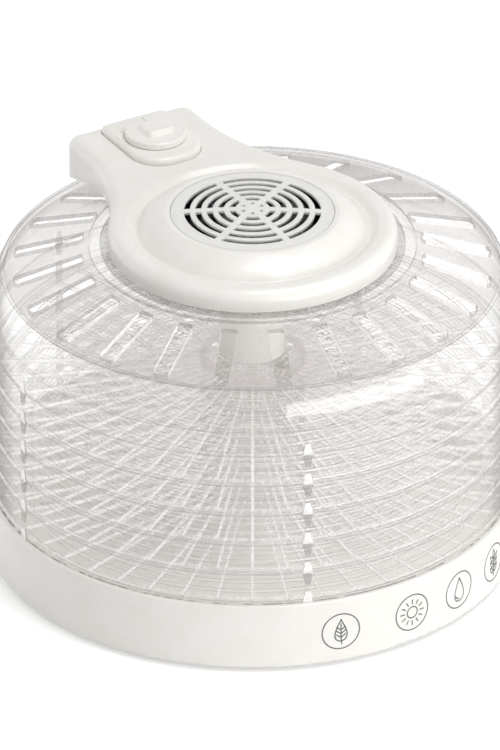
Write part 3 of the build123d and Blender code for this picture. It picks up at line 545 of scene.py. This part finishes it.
def turned_faces(section, steps):
    """Points and faces of a closed section turned round the upright axis."""
    count = len(section)
    points = []
    for step in range(steps):
        angle = 2 * math.pi * step / steps
        for radius, height in section:
            points.append((radius * math.cos(angle), radius * math.sin(angle), height))
    faces = []
    for step in range(steps):
        here = step * count
        there = (step + 1) % steps * count
        for index in range(count):
            after = (index + 1) % count
            faces.append((here + index, there + index, there + after, here + after))
    return points, faces


def make_piece(name, points, faces, *materials):
    """A mesh object from points in millimetres."""
    mesh = bpy.data.meshes.new(name)
    mesh.from_pydata([tuple(value * MM for value in point) for point in points], [], faces)
    mesh.validate()
    mesh.update()
    for material in materials:
        mesh.materials.append(material)
    piece = bpy.data.objects.new(name, mesh)
    bpy.context.scene.collection.objects.link(piece)
    return piece


def mark_faces(mesh, index, is_marked):
    """Gives one of the mesh's materials to the faces picked by radius, height and upward lean."""
    for face in mesh.polygons:
        reach = math.hypot(face.center.x, face.center.y) / MM
        if is_marked(reach, face.center.z / MM, face.normal.z):
            face.material_index = index


def join_shapes(shapes):
    """Points and faces of several shapes as one."""
    points = []
    faces = []
    for shape_points, shape_faces in shapes:
        shift = len(points)
        points = points + list(shape_points)
        faces = faces + [tuple(index + shift for index in face) for face in shape_faces]
    return points, faces


def stacking_keys(seat, direction):
    """Tapered lugs round the wall that start at a seat and grow narrower upward or downward."""
    keys = []
    for key in range(KEY_COUNT):
        centre = math.radians(KEY_TURN + key * 360 / KEY_COUNT)
        points = []
        for height, width in ((KEY_GAP, KEY_WIDTH), (KEY_HEIGHT, KEY_TIP_WIDTH)):
            for radius in (TRAY_RADIUS - KEY_ROOT, TRAY_RADIUS + KEY_PROUD):
                for side in (-1, 1):
                    angle = centre + side * width / 2 / radius
                    level = seat + direction * height
                    points.append((radius * math.cos(angle), radius * math.sin(angle), level))
        faces = [(0, 2, 3, 1), (4, 5, 7, 6), (0, 1, 5, 4), (2, 6, 7, 3), (0, 4, 6, 2), (1, 3, 7, 5)]
        keys.append((points, faces if direction > 0 else [face[::-1] for face in faces]))
    return keys


def mark_keys(mesh, start, is_upward):
    """Fronts of painted highlight on the lugs that point up, fronts of painted shade on those that point
    down, and pale grey sides.
    """
    front = EDGE if is_upward else CORNER
    for number in range(KEY_COUNT * KEY_FACES):
        mesh.polygons[start + number].material_index = front if number % KEY_FACES == KEY_FRONT else SEAM


# Grating of a tray floor: rings of bars crossed by radial ribs
grating = bpy.data.node_groups.new("tray_grating", "GeometryNodeTree")
grating_sizes = {
    "Inner Radius": (COLLAR_RADIUS + COLLAR_WALL) * MM,
    "Outer Radius": (TRAY_LEDGE_RADIUS + FLOOR_BAR / 2) * MM,
    "Level": (TRAY_LEDGE_TOP + FLOOR_THICKNESS / 2) * MM,
    "Bar Width": FLOOR_BAR * MM,
    "Bar Height": FLOOR_BAR_HEIGHT * MM,
    "Rib Width": FLOOR_RIB * MM,
    "Rib Height": FLOOR_THICKNESS * MM,
}
grating_counts = {"Rings": FLOOR_RINGS, "Ribs": FLOOR_RIBS}
grating.interface.new_socket("Geometry", in_out="OUTPUT", socket_type="NodeSocketGeometry")
socket_of = {}
for kind, labels in (("NodeSocketFloat", grating_sizes), ("NodeSocketInt", grating_counts)):
    for label in labels:
        socket = grating.interface.new_socket(label, in_out="INPUT", socket_type=kind)
        socket_of[label] = socket.identifier
sizes = add_node(grating, "NodeGroupInput").outputs
number = add_node(grating, "GeometryNodeInputIndex").outputs["Index"]
last_ring = add_node(grating, "ShaderNodeMath", {0: sizes["Rings"], 1: 1.0}, operation="SUBTRACT").outputs[0]
ring_radius = add_node(
    grating,
    "ShaderNodeMapRange",
    {
        "Value": number,
        "From Max": last_ring,
        "To Min": sizes["Inner Radius"],
        "To Max": sizes["Outer Radius"],
    },
).outputs["Result"]
ring_scale = add_node(grating, "ShaderNodeCombineXYZ", {"X": ring_radius, "Y": ring_radius, "Z": 1.0})
level = add_node(grating, "ShaderNodeCombineXYZ", {"Z": sizes["Level"]}).outputs["Vector"]
ring_points = add_node(grating, "GeometryNodePoints", {"Count": sizes["Rings"], "Position": level})
unit_circle = add_node(
    grating, "GeometryNodeCurvePrimitiveCircle", {"Resolution": FLOOR_RING_STEPS, "Radius": 1.0}
)
rings = add_node(
    grating,
    "GeometryNodeInstanceOnPoints",
    {
        "Points": ring_points.outputs[0],
        "Instance": unit_circle.outputs["Curve"],
        "Scale": ring_scale.outputs["Vector"],
    },
)
ring_lines = add_node(grating, "GeometryNodeRealizeInstances", {"Geometry": rings.outputs["Instances"]})
bar_section = add_node(
    grating,
    "GeometryNodeCurvePrimitiveQuadrilateral",
    {"Width": sizes["Bar Width"], "Height": sizes["Bar Height"]},
)
bars = add_node(
    grating,
    "GeometryNodeCurveToMesh",
    {"Curve": ring_lines.outputs["Geometry"], "Profile Curve": bar_section.outputs["Curve"]},
)
rib_length = add_node(
    grating, "ShaderNodeMath", {0: sizes["Outer Radius"], 1: sizes["Inner Radius"]}, operation="SUBTRACT"
).outputs[0]
rib_size = add_node(
    grating, "ShaderNodeCombineXYZ", {"X": rib_length, "Y": sizes["Rib Width"], "Z": sizes["Rib Height"]}
)
rib_block = add_node(grating, "GeometryNodeMeshCube", {"Size": rib_size.outputs["Vector"]})
rib_reach = add_node(
    grating, "ShaderNodeMath", {0: sizes["Outer Radius"], 1: sizes["Inner Radius"]}, operation="ADD"
).outputs[0]
rib_middle = add_node(grating, "ShaderNodeMath", {0: rib_reach, 1: 0.5}, operation="MULTIPLY").outputs[0]
rib_place = add_node(grating, "ShaderNodeCombineXYZ", {"X": rib_middle, "Z": sizes["Level"]})
rib = add_node(
    grating,
    "GeometryNodeTransform",
    {"Geometry": rib_block.outputs["Mesh"], "Translation": rib_place.outputs["Vector"]},
)
rib_points = add_node(grating, "GeometryNodePoints", {"Count": sizes["Ribs"]})
rib_step = add_node(
    grating, "ShaderNodeMath", {0: 2 * math.pi, 1: sizes["Ribs"]}, operation="DIVIDE"
).outputs[0]
rib_angle = add_node(grating, "ShaderNodeMath", {0: number, 1: rib_step}, operation="MULTIPLY").outputs[0]
rib_turn = add_node(grating, "ShaderNodeCombineXYZ", {"Z": rib_angle})
ribs = add_node(
    grating,
    "GeometryNodeInstanceOnPoints",
    {
        "Points": rib_points.outputs[0],
        "Instance": rib.outputs["Geometry"],
        "Rotation": rib_turn.outputs["Vector"],
    },
)
lattice = add_node(grating, "GeometryNodeJoinGeometry")
grating.links.new(bars.outputs["Mesh"], lattice.inputs["Geometry"])
grating.links.new(ribs.outputs["Instances"], lattice.inputs["Geometry"])
whole = add_node(grating, "GeometryNodeRealizeInstances", {"Geometry": lattice.outputs["Geometry"]})
finished = add_node(
    grating,
    "GeometryNodeSetMaterial",
    {"Geometry": whole.outputs["Geometry"], "Material": clear_polystyrene},
)
add_node(grating, "NodeGroupOutput", {"Geometry": finished.outputs["Geometry"]})

grating_carrier = bpy.data.objects.new("grating_carrier", bpy.data.meshes.new("grating_carrier"))
bpy.context.scene.collection.objects.link(grating_carrier)
modifier = grating_carrier.modifiers.new("grating", "NODES")
modifier.node_group = grating
for label, value in {**grating_sizes, **grating_counts}.items():
    modifier[socket_of[label]] = value
shown = grating_carrier.evaluated_get(bpy.context.evaluated_depsgraph_get())
grating_mesh = bpy.data.meshes.new_from_object(shown)
grating_points = [tuple(value / MM for value in vertex.co) for vertex in grating_mesh.vertices]
grating_faces = [tuple(face.vertices) for face in grating_mesh.polygons]
bpy.data.objects.remove(grating_carrier)


def is_ring_step(reach, height, lean):
    """Steps between the bands of a tray's wall."""
    on_middle = SEAM_BAND < height < TRAY_PITCH - SEAM_BAND
    return on_middle and reach > TRAY_INSIDE and abs(lean) > EDGE_LEAN


def is_ring_seam(reach, height, lean):
    """Upper and lower edge of a tray's wall, where two trays meet."""
    on_middle = SEAM_BAND < height < TRAY_PITCH - SEAM_BAND
    return not on_middle and reach > FOOT_RING_RADIUS and abs(lean) > EDGE_LEAN


# Section of a tray ring from its foot outward and up, with its seat at the level of the origin
ring_section = soften(
    [
        (TRAY_LEDGE_RADIUS, -NEST_DEPTH),
        (FOOT_RING_RADIUS, -NEST_DEPTH),
        (FOOT_RING_RADIUS, 0),
        (TRAY_RADIUS, 0),
        (TRAY_RADIUS, TRAY_BAND_LOW),
        (TRAY_SUNK_BAND, TRAY_BAND_LOW + TRAY_BAND_SLOPE),
        (TRAY_SUNK_BAND, TRAY_BAND_HIGH - TRAY_BAND_SLOPE),
        (TRAY_RADIUS, TRAY_BAND_HIGH),
        (TRAY_RADIUS, TRAY_PITCH),
        (NEST_RADIUS, TRAY_PITCH),
        (NEST_RADIUS, NEST_FLOOR),
        (TRAY_INSIDE, NEST_FLOOR),
        (TRAY_INSIDE, TRAY_LEDGE_TOP),
        (TRAY_LEDGE_RADIUS, TRAY_LEDGE_TOP),
    ],
    MOULD_EDGE,
)
collar_section = soften(
    [
        (COLLAR_RADIUS, TRAY_LEDGE_TOP),
        (COLLAR_RADIUS + COLLAR_WALL, TRAY_LEDGE_TOP),
        (COLLAR_RADIUS + COLLAR_WALL, TRAY_LEDGE_TOP + COLLAR_HEIGHT),
        (COLLAR_RADIUS, TRAY_LEDGE_TOP + COLLAR_HEIGHT),
    ],
    MOULD_EDGE,
)
ring_shape = turned_faces(ring_section, TURN_STEPS)
collar_shape = turned_faces(collar_section, TURN_STEPS // 2)
tray_keys = stacking_keys(0, 1) + stacking_keys(TRAY_PITCH, -1)
grating_shape = (grating_points, grating_faces)
tray_points, tray_faces = join_shapes([ring_shape, collar_shape, grating_shape] + tray_keys)
collar_start = len(ring_shape[1])
collar_end = collar_start + len(collar_shape[1])
key_start = collar_end + len(grating_faces)
for order in range(1, TRAY_COUNT + 1):
    seat = BASE_TOP + (order - 1) * TRAY_PITCH
    tray = make_piece(
        f"clear_tray_{order}",
        [(x, y, z + seat) for x, y, z in tray_points],
        tray_faces,
        *clear_kinds,
    )
    mark_faces(tray.data, RIB, lambda reach, height, lean: is_ring_step(reach, height - seat, lean))
    mark_faces(tray.data, SEAM, lambda reach, height, lean: is_ring_seam(reach, height - seat, lean))
    # Collars in the veil: grey painted shade below the duct, with a painted glow
    for number in range(collar_start, collar_end):
        tray.data.polygons[number].material_index = VEIL
    for face in tray.data.polygons[collar_end:key_start]:
        face.material_index = RIB if face.area > RIB_FACE * MM**2 else PLAIN
    mark_keys(tray.data, key_start, True)
    mark_keys(tray.data, key_start + KEY_COUNT * KEY_FACES, False)
    weigh_normals(tray.data)
    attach(tray, f"tray_{order}")
    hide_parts(f"tray_{order}_ring", f"tray_{order}_floor")


def shoulder_line(inset):
    """Bulged line of the lid's shoulder from the skirt up to the rim, moved inward by inset."""
    low = Vector((TRAY_RADIUS - inset, LID_SKIRT_TOP - inset / 2))
    high = Vector((LID_RIM_RADIUS - inset, LID_RIM - inset))
    middle = (low + high) / 2 + Vector((LID_SHOULDER_BULGE, 0))
    control = 2 * middle - (low + high) / 2
    line = []
    for step in range(LID_SHOULDER_STEPS + 1):
        share = step / LID_SHOULDER_STEPS
        line.append(tuple((1 - share) ** 2 * low + 2 * share * (1 - share) * control + share**2 * high))
    return line


def vent_rows():
    """Radii along a vent with its half width at each: flat ends, rounded corners, straight sides."""
    half = VENT_WIDTH / 2
    corner = [(-VENT_SLIVER, 0.0)]
    for step in range(VENT_CORNER_STEPS + 1):
        turn = math.pi / 2 * step / VENT_CORNER_STEPS
        corner.append((VENT_CORNER * (1 - math.cos(turn)), half - VENT_CORNER * (1 - math.sin(turn))))
    rows = [(VENT_INSIDE + along, width) for along, width in corner]
    rows += [((VENT_INSIDE + VENT_OUTSIDE) / 2, half)]
    rows += [(VENT_OUTSIDE - along, width) for along, width in reversed(corner)]
    return rows


def lid_height(radius, under):
    """Height of the lid's sloping top at a radius, on its upper or under side."""
    inner = LID_LIP_RADIUS - (LID_WALL / 2 if under else 0)
    outer = LID_RIM_RADIUS - LID_BEAD_WIDTH - (LID_WALL if under else 0)
    drop = LID_WALL if under else 0
    share = (radius - inner) / (outer - inner)
    return LID_SEAT - drop + share * (LID_RIM - LID_SEAT)


def is_lid_corner(reach, height, lean):
    """Walls of the vents, the sides of the bead and the lip, and the seat of the head, whose grey is painted
    shadow under the head.
    """
    upright = abs(lean) < EDGE_LEAN
    on_vent = upright and VENT_INSIDE - EDGE_REACH < reach < VENT_OUTSIDE + EDGE_REACH
    on_bead = upright and reach > LID_RIM_RADIUS - LID_BEAD_WIDTH - EDGE_REACH and height > LID_RIM
    on_lip = upright and reach < LID_LIP_RADIUS + EDGE_REACH and height > LID_SEAT
    on_seat = reach < LID_LIP_INSIDE and lean > EDGE_LEAN
    return on_vent or on_bead or on_lip or on_seat


def is_lid_seam(reach, height, lean):
    """Lower edge and groove of the lid's skirt."""
    return reach > FOOT_RING_RADIUS and height < LID_SKIRT_TOP and abs(lean) > EDGE_LEAN


def is_lid_top(reach, height, lean):
    """Sloping top of the lid from the rim to the lip, with the top of the lip."""
    return LID_LIP_INSIDE < reach < LID_RIM_RADIUS - LID_BEAD_WIDTH and abs(lean) > EDGE_LEAN


# Lid: one section from the skirt over the rim to the hole and back underneath, with vents through the top
vents = vent_rows()
outer_line = soften(
    [
        (TRAY_INSIDE, LID_BOTTOM - NEST_DEPTH),
        (FOOT_RING_RADIUS, LID_BOTTOM - NEST_DEPTH),
        (FOOT_RING_RADIUS, LID_BOTTOM),
        (TRAY_RADIUS, LID_BOTTOM),
        (TRAY_RADIUS, LID_SKIRT_TOP - LID_GROOVE_BOTTOM),
        (TRAY_RADIUS - LID_GROOVE_DEPTH, LID_SKIRT_TOP - LID_GROOVE_LOW),
        (TRAY_RADIUS - LID_GROOVE_DEPTH, LID_SKIRT_TOP - LID_GROOVE_HIGH),
    ]
    + shoulder_line(0)
    + [
        (LID_RIM_RADIUS, LID_RIM + LID_BEAD_HEIGHT),
        (LID_RIM_RADIUS - LID_BEAD_WIDTH, LID_RIM + LID_BEAD_HEIGHT),
        (LID_RIM_RADIUS - LID_BEAD_WIDTH, LID_RIM),
        (VENT_OUTSIDE, lid_height(VENT_OUTSIDE, False)),
        (VENT_INSIDE, lid_height(VENT_INSIDE, False)),
        (LID_LIP_RADIUS, LID_SEAT),
        (LID_LIP_RADIUS, LID_LIP_TOP),
        (LID_LIP_INSIDE, LID_LIP_TOP),
        (LID_LIP_INSIDE, LID_SEAT),
        (LID_HOLE_RADIUS, LID_SEAT),
        (LID_HOLE_RADIUS, LID_SEAT - LID_WALL),
        (LID_LIP_RADIUS - LID_WALL / 2, LID_SEAT - LID_WALL),
        (VENT_INSIDE, lid_height(VENT_INSIDE, True)),
        (VENT_OUTSIDE, lid_height(VENT_OUTSIDE, True)),
        (LID_RIM_RADIUS - LID_WALL - LID_BEAD_WIDTH, LID_RIM - LID_WALL),
    ]
    + shoulder_line(LID_WALL)[::-1]
    + [(TRAY_INSIDE, LID_SKIRT_TOP - LID_WALL)],
    MOULD_EDGE,
)
lid_rows = []
for radius, height in outer_line:
    top_start = abs(radius - VENT_OUTSIDE) < NEAR and height > lid_height(radius, False) - NEAR
    under_start = abs(radius - VENT_INSIDE) < NEAR and height < lid_height(radius, True) + NEAR
    if top_start:
        lid_rows += [(r, lid_height(r, False), half, "top") for r, half in reversed(vents)]
    elif under_start:
        lid_rows += [(r, lid_height(r, True), half, "under") for r, half in vents]
    elif abs(radius - VENT_OUTSIDE) > NEAR and abs(radius - VENT_INSIDE) > NEAR:
        lid_rows.append((radius, height, None, ""))
pitch = 2 * math.pi / VENT_COUNT
web_shares = [step / WEB_COLUMNS for step in range(1, WEB_COLUMNS)]
columns_each = VENT_COLUMNS + len(web_shares)
lid_points = []
for vent in range(VENT_COUNT):
    centre = math.radians(VENT_TURN) + vent * pitch
    for column in range(columns_each):
        for radius, height, half, side in lid_rows:
            width = VENT_WIDTH / 2 if half is None else half
            spread = math.asin(width / radius)
            if column < VENT_COLUMNS:
                angle = centre + (column - 1) * spread
            else:
                angle = centre + spread + web_shares[column - VENT_COLUMNS] * (pitch - 2 * spread)
            lid_points.append((radius * math.cos(angle), radius * math.sin(angle), height))
row_count = len(lid_rows)
top_rows = [index for index, row in enumerate(lid_rows) if row[3] == "top"]
under_rows = [index for index, row in enumerate(lid_rows) if row[3] == "under"][::-1]
column_count = VENT_COUNT * columns_each
lid_faces = []
for column in range(column_count):
    here = column * row_count
    there = (column + 1) % column_count * row_count
    edge = column % columns_each
    in_vent = edge < VENT_COLUMNS - 1
    for row in range(row_count):
        after = (row + 1) % row_count
        sides = (lid_rows[row][3], lid_rows[after][3])
        if in_vent and sides[0] and sides[0] == sides[1]:
            continue
        lid_faces.append((here + row, there + row, there + after, here + after))
    if edge in (0, VENT_COLUMNS - 1):
        for row, under, row_after, under_after in zip(top_rows, under_rows, top_rows[1:], under_rows[1:]):
            wall = (here + row, here + row_after, here + under_after, here + under)
            lid_faces.append(wall[::-1] if edge == 0 else wall)
lid_points, lid_faces = join_shapes([(lid_points, lid_faces)] + stacking_keys(LID_BOTTOM, 1))
clear_lid = make_piece("clear_lid", lid_points, lid_faces, *clear_kinds)
shell = bmesh.new()
shell.from_mesh(clear_lid.data)
bmesh.ops.remove_doubles(shell, verts=shell.verts, dist=WELD * MM)
bmesh.ops.recalc_face_normals(shell, faces=shell.faces)
shell.to_mesh(clear_lid.data)
shell.free()
clear_lid.data.polygons.foreach_set("use_smooth", [True] * len(clear_lid.data.polygons))
clear_lid.data.set_sharp_from_angle(angle=math.radians(SHARP_TURN))
mark_faces(clear_lid.data, VEIL, is_lid_top)
mark_faces(clear_lid.data, CORNER, is_lid_corner)
mark_faces(clear_lid.data, SEAM, is_lid_seam)
mark_keys(clear_lid.data, len(clear_lid.data.polygons) - KEY_COUNT * KEY_FACES, True)
# Long walls of the vents near the front softbox, with a painted glow along their length
for face in clear_lid.data.polygons:
    reach = math.hypot(face.center.x, face.center.y) / MM
    on_side = VENT_INSIDE + VENT_CORNER < reach < VENT_OUTSIDE - VENT_CORNER
    upright = abs(face.normal.z) < EDGE_LEAN
    if on_side and upright and face.center.y < -LIT_DEPTH * MM:
        face.material_index = EDGE
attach(clear_lid, "lid")
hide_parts("lid")


def printed_stroke(line, closed, bearing):
    """Points and faces of a line of ink on the wall of the base, round a bearing: a thin closed band."""
    count = len(line)
    points = []
    for index, spot in enumerate(line):
        here = Vector(spot)
        before = Vector(line[index - 1]) if closed or index else here
        after = Vector(line[(index + 1) % count]) if closed or index < count - 1 else here
        along = (after - before).normalized()
        across = Vector((-along.y, along.x)) * STROKE_WIDTH / 2
        for radius in (STROKE_INSIDE, STROKE_OUTSIDE):
            for side in (-1, 1):
                sideways, upward = here + side * across
                angle = math.radians(bearing) + sideways / BASE_RADIUS
                points.append((radius * math.cos(angle), radius * math.sin(angle), BADGE_LEVEL + upward))
    faces = []
    for index in range(count if closed else count - 1):
        first = STROKE_CORNERS * index
        second = STROKE_CORNERS * ((index + 1) % count)
        for one, other in ((2, 3), (1, 0), (0, 2), (3, 1)):
            faces.append((first + one, second + one, second + other, first + other))
    if not closed:
        end = STROKE_CORNERS * (count - 1)
        faces += [(0, 2, 3, 1), (end, end + 1, end + 3, end + 2)]
    return points, faces


def round_line(middle, radius, steps, start=0.0, sweep=360.0):
    """Points of an arc, or of a whole circle without its last point."""
    angles = [math.radians(start + sweep * step / steps) for step in range(steps + (sweep < 360))]
    return [(middle[0] + radius * math.cos(angle), middle[1] + radius * math.sin(angle)) for angle in angles]


def drop_line(middle, half_width, half_height, lean=0.0):
    """Closed outline of a drop with its tip up, leaned over by so many degrees."""
    tilt = math.radians(lean)
    line = []
    for step in range(CURVE_STEPS):
        turn = 2 * math.pi * step / CURVE_STEPS
        across = -half_width * math.sin(turn) * math.sin(turn / 2) ** DROP_TAPER
        up = half_height * math.cos(turn)
        x = middle[0] + across * math.cos(tilt) - up * math.sin(tilt)
        y = middle[1] + across * math.sin(tilt) + up * math.cos(tilt)
        line.append((x, y))
    return line


def leaf_badge():
    """A leaf with its midrib and three pairs of veins."""
    midrib = [(0, 5.6), (0, -4), (0.6, -9.4)]
    vein_start = 0.4
    vein_end = 3.0
    vein_rise = 2.0
    strokes = [(drop_line((0, 0.8), half_width=5.6, half_height=7.6), True), (midrib, False)]
    for level in (-4.0, -1.4, 1.2):
        for side in (-1, 1):
            strokes.append(([(side * vein_start, level), (side * vein_end, level + vein_rise)], False))
    return strokes


def sun_badge():
    """A sun with twelve rays."""
    rays = 12
    ray_ends = (5.6, 8.8)
    strokes = [(round_line((0, 0), radius=3.8, steps=CURVE_STEPS), True)]
    for ray in range(rays):
        angle = 2 * math.pi * ray / rays
        strokes.append(([(reach * math.cos(angle), reach * math.sin(angle)) for reach in ray_ends], False))
    return strokes


def water_badge():
    """A drop of water with a curved glint."""
    outline = drop_line((0, 0.4), half_width=6.0, half_height=8.2)
    glint = round_line((0, -2.6), radius=3.4, steps=10, start=190, sweep=80)
    return [(outline, True), (glint, False)]


def wheat_badge():
    """An ear of wheat: a stem with three pairs of grains and one at the top."""
    stem = [(0, -9.6), (0, 3.4)]
    grain_offset = 2.9
    grain_lean = 40
    strokes = [(stem, False), (drop_line((0, 6.4), half_width=1.7, half_height=2.7), True)]
    for level in (-4.4, -0.4, 3.6):
        for side in (-1, 1):
            spot = (side * grain_offset, level)
            grain = drop_line(spot, half_width=1.6, half_height=2.7, lean=-side * grain_lean)
            strokes.append((grain, True))
    return strokes


# Badges of ink, each in a ring
ink_shapes = []
for bearing, badge in zip(BADGE_BEARINGS, (leaf_badge(), sun_badge(), water_badge(), wheat_badge())):
    for line, closed in badge + [(round_line((0, 0), BADGE_RING, CIRCLE_STEPS), True)]:
        ink_shapes.append(printed_stroke(line, closed, bearing))
ink_points, ink_faces = join_shapes(ink_shapes)
badges = make_piece("printed_badges", ink_points, ink_faces, grey_ink)
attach(badges, "base")

# Raised marks of the scale, in the panel's own plastic
ridge_shapes = []
ridges = [(RIDGE_START + ridge * RIDGE_STEP, RIDGE_OUTSIDE, RIDGE_WIDTH) for ridge in range(RIDGE_COUNT)]
for bearing, outside, width in ridges + [(MARK_BEARING, MARK_OUTSIDE, MARK_WIDTH)]:
    outward = Vector((math.cos(math.radians(bearing)), math.sin(math.radians(bearing))))
    across = Vector((-outward.y, outward.x))
    points = []
    for level, taper in ((PANEL_TOP - RIDGE_ROOT, 0.0), (PANEL_TOP + RIDGE_HEIGHT, RIDGE_TAPER)):
        half = width / 2 - taper
        near = RIDGE_INSIDE + taper
        far = outside - taper
        for reach, side in ((near, -half), (far, -half), (far, half), (near, half)):
            x, y = outward * reach + across * side
            points.append((x, y + KNOB_CENTRE, level))
    faces = [(3, 2, 1, 0), (4, 5, 6, 7), (0, 1, 5, 4), (1, 2, 6, 5), (2, 3, 7, 6), (3, 0, 4, 7)]
    ridge_shapes.append((points, faces))
scale_ridges = make_piece("scale_ridges", *join_shapes(ridge_shapes), white_abs)
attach(scale_ridges, "power_head")


def seen_directly(tree):
    """An output that is 1 for what is seen, mirrored or looked at through glass, and 0 for other light."""
    ray = add_node(tree, "ShaderNodeLightPath").outputs
    plain = add_node(
        tree, "ShaderNodeMath", {0: ray["Is Camera Ray"], 1: ray["Is Glossy Ray"]}, operation="ADD"
    )
    whole = add_node(
        tree,
        "ShaderNodeMath",
        {0: plain.outputs[0], 1: ray["Is Transmission Ray"]},
        operation="ADD",
        use_clamp=True,
    )
    return whole.outputs[0]


# Paper, matt: white and even with fine fibres, and it keeps the shadow of the object
paper = start_material("white_paper_matt")
tree = paper.node_tree
place = add_node(tree, "ShaderNodeTexCoord").outputs["Object"]
fibres = add_node(tree, "ShaderNodeTexNoise", {"Vector": place, "Scale": 1 / (FIBRE_LENGTH * MM)})
tone = add_node(tree, "ShaderNodeValToRGB", {"Fac": fibres.outputs["Fac"]})
tone.color_ramp.elements[0].color = linear("#F2F2F2")
tone.color_ramp.elements[1].color = linear("#F6F6F6")
matt = add_node(tree, "ShaderNodeBsdfDiffuse", {"Color": tone.outputs["Color"]})
lift = add_node(tree, "ShaderNodeMath", {0: seen_directly(tree), 1: PAPER_LIFT}, operation="MULTIPLY")
glow = add_node(tree, "ShaderNodeEmission", {"Strength": lift.outputs[0]})
sum_up = add_node(tree, "ShaderNodeAddShader", {0: matt.outputs["BSDF"], 1: glow.outputs["Emission"]})
add_node(tree, "ShaderNodeOutputMaterial", {"Surface": sum_up.outputs["Shader"]})
corners = ((-1, -1), (1, -1), (1, 1), (-1, 1))
sweep_points = [(x * PAPER_REACH, y * PAPER_REACH, 0) for x, y in corners]
floor = make_piece("paper_sweep", sweep_points, [(0, 1, 2, 3)], paper)

# A white room where it is seen or mirrored, with a weaker light on the object
world = bpy.data.worlds.new("studio")
bpy.context.scene.world = world
world.use_nodes = True
tree = world.node_tree
tree.nodes.clear()
room = add_node(
    tree, "ShaderNodeMapRange", {"Value": seen_directly(tree), "To Min": ROOM_LIGHT, "To Max": ROOM_WHITE}
)
surround = add_node(
    tree, "ShaderNodeBackground", {"Color": linear("#FFFFFF"), "Strength": room.outputs["Result"]}
)
add_node(tree, "ShaderNodeOutputWorld", {"Surface": surround.outputs["Background"]})


def add_softbox(name, place, aim, width, height, power):
    """A rectangular lamp of so many watts that looks from a place towards a point, in metres."""
    lamp = bpy.data.lights.new(name, "AREA")
    lamp.shape = "RECTANGLE"
    lamp.size = width
    lamp.size_y = height
    lamp.energy = power
    holder = bpy.data.objects.new(name, lamp)
    holder.location = place
    holder.rotation_euler = (Vector(aim) - Vector(place)).to_track_quat("-Z", "Y").to_euler()
    bpy.context.scene.collection.objects.link(holder)


add_softbox(
    "right_softbox", place=(0.37, -1.56, 0.35), aim=(0, 0, 0.35), width=1.83, height=0.66, power=12.5
)
add_softbox(
    "left_softbox", place=(-0.62, 0.70, 0.24), aim=(0, 0, 0.17), width=1.0, height=0.5, power=1.6
)
add_softbox(
    "top_softbox", place=(0.3, -0.4, 1.9), aim=(0, 0, 0.2), width=1.0, height=1.0, power=15.7
)

# Camera, with the handle away to the left of the picture
camera = bpy.data.cameras.new("camera")
camera.sensor_width = SENSOR_WIDTH
camera.lens = SENSOR_WIDTH * CAMERA_DISTANCE / PICTURE_HEIGHT
camera.clip_end = CAMERA_SIGHT
camera_holder = bpy.data.objects.new("camera", camera)
azimuth = math.radians(CAMERA_AZIMUTH)
elevation = math.radians(CAMERA_ELEVATION)
away = Vector(
    (
        math.sin(azimuth) * math.cos(elevation),
        -math.cos(azimuth) * math.cos(elevation),
        math.sin(elevation),
    )
)
camera_holder.location = Vector(CAMERA_AIM) + away * CAMERA_DISTANCE
camera_holder.rotation_euler = away.to_track_quat("Z", "Y").to_euler()
bpy.context.scene.collection.objects.link(camera_holder)
bpy.context.scene.camera = camera_holder

bpy.context.scene.view_settings.view_transform = "Standard"
bpy.context.scene.cycles.transparent_max_bounces = CLEAR_WALLS
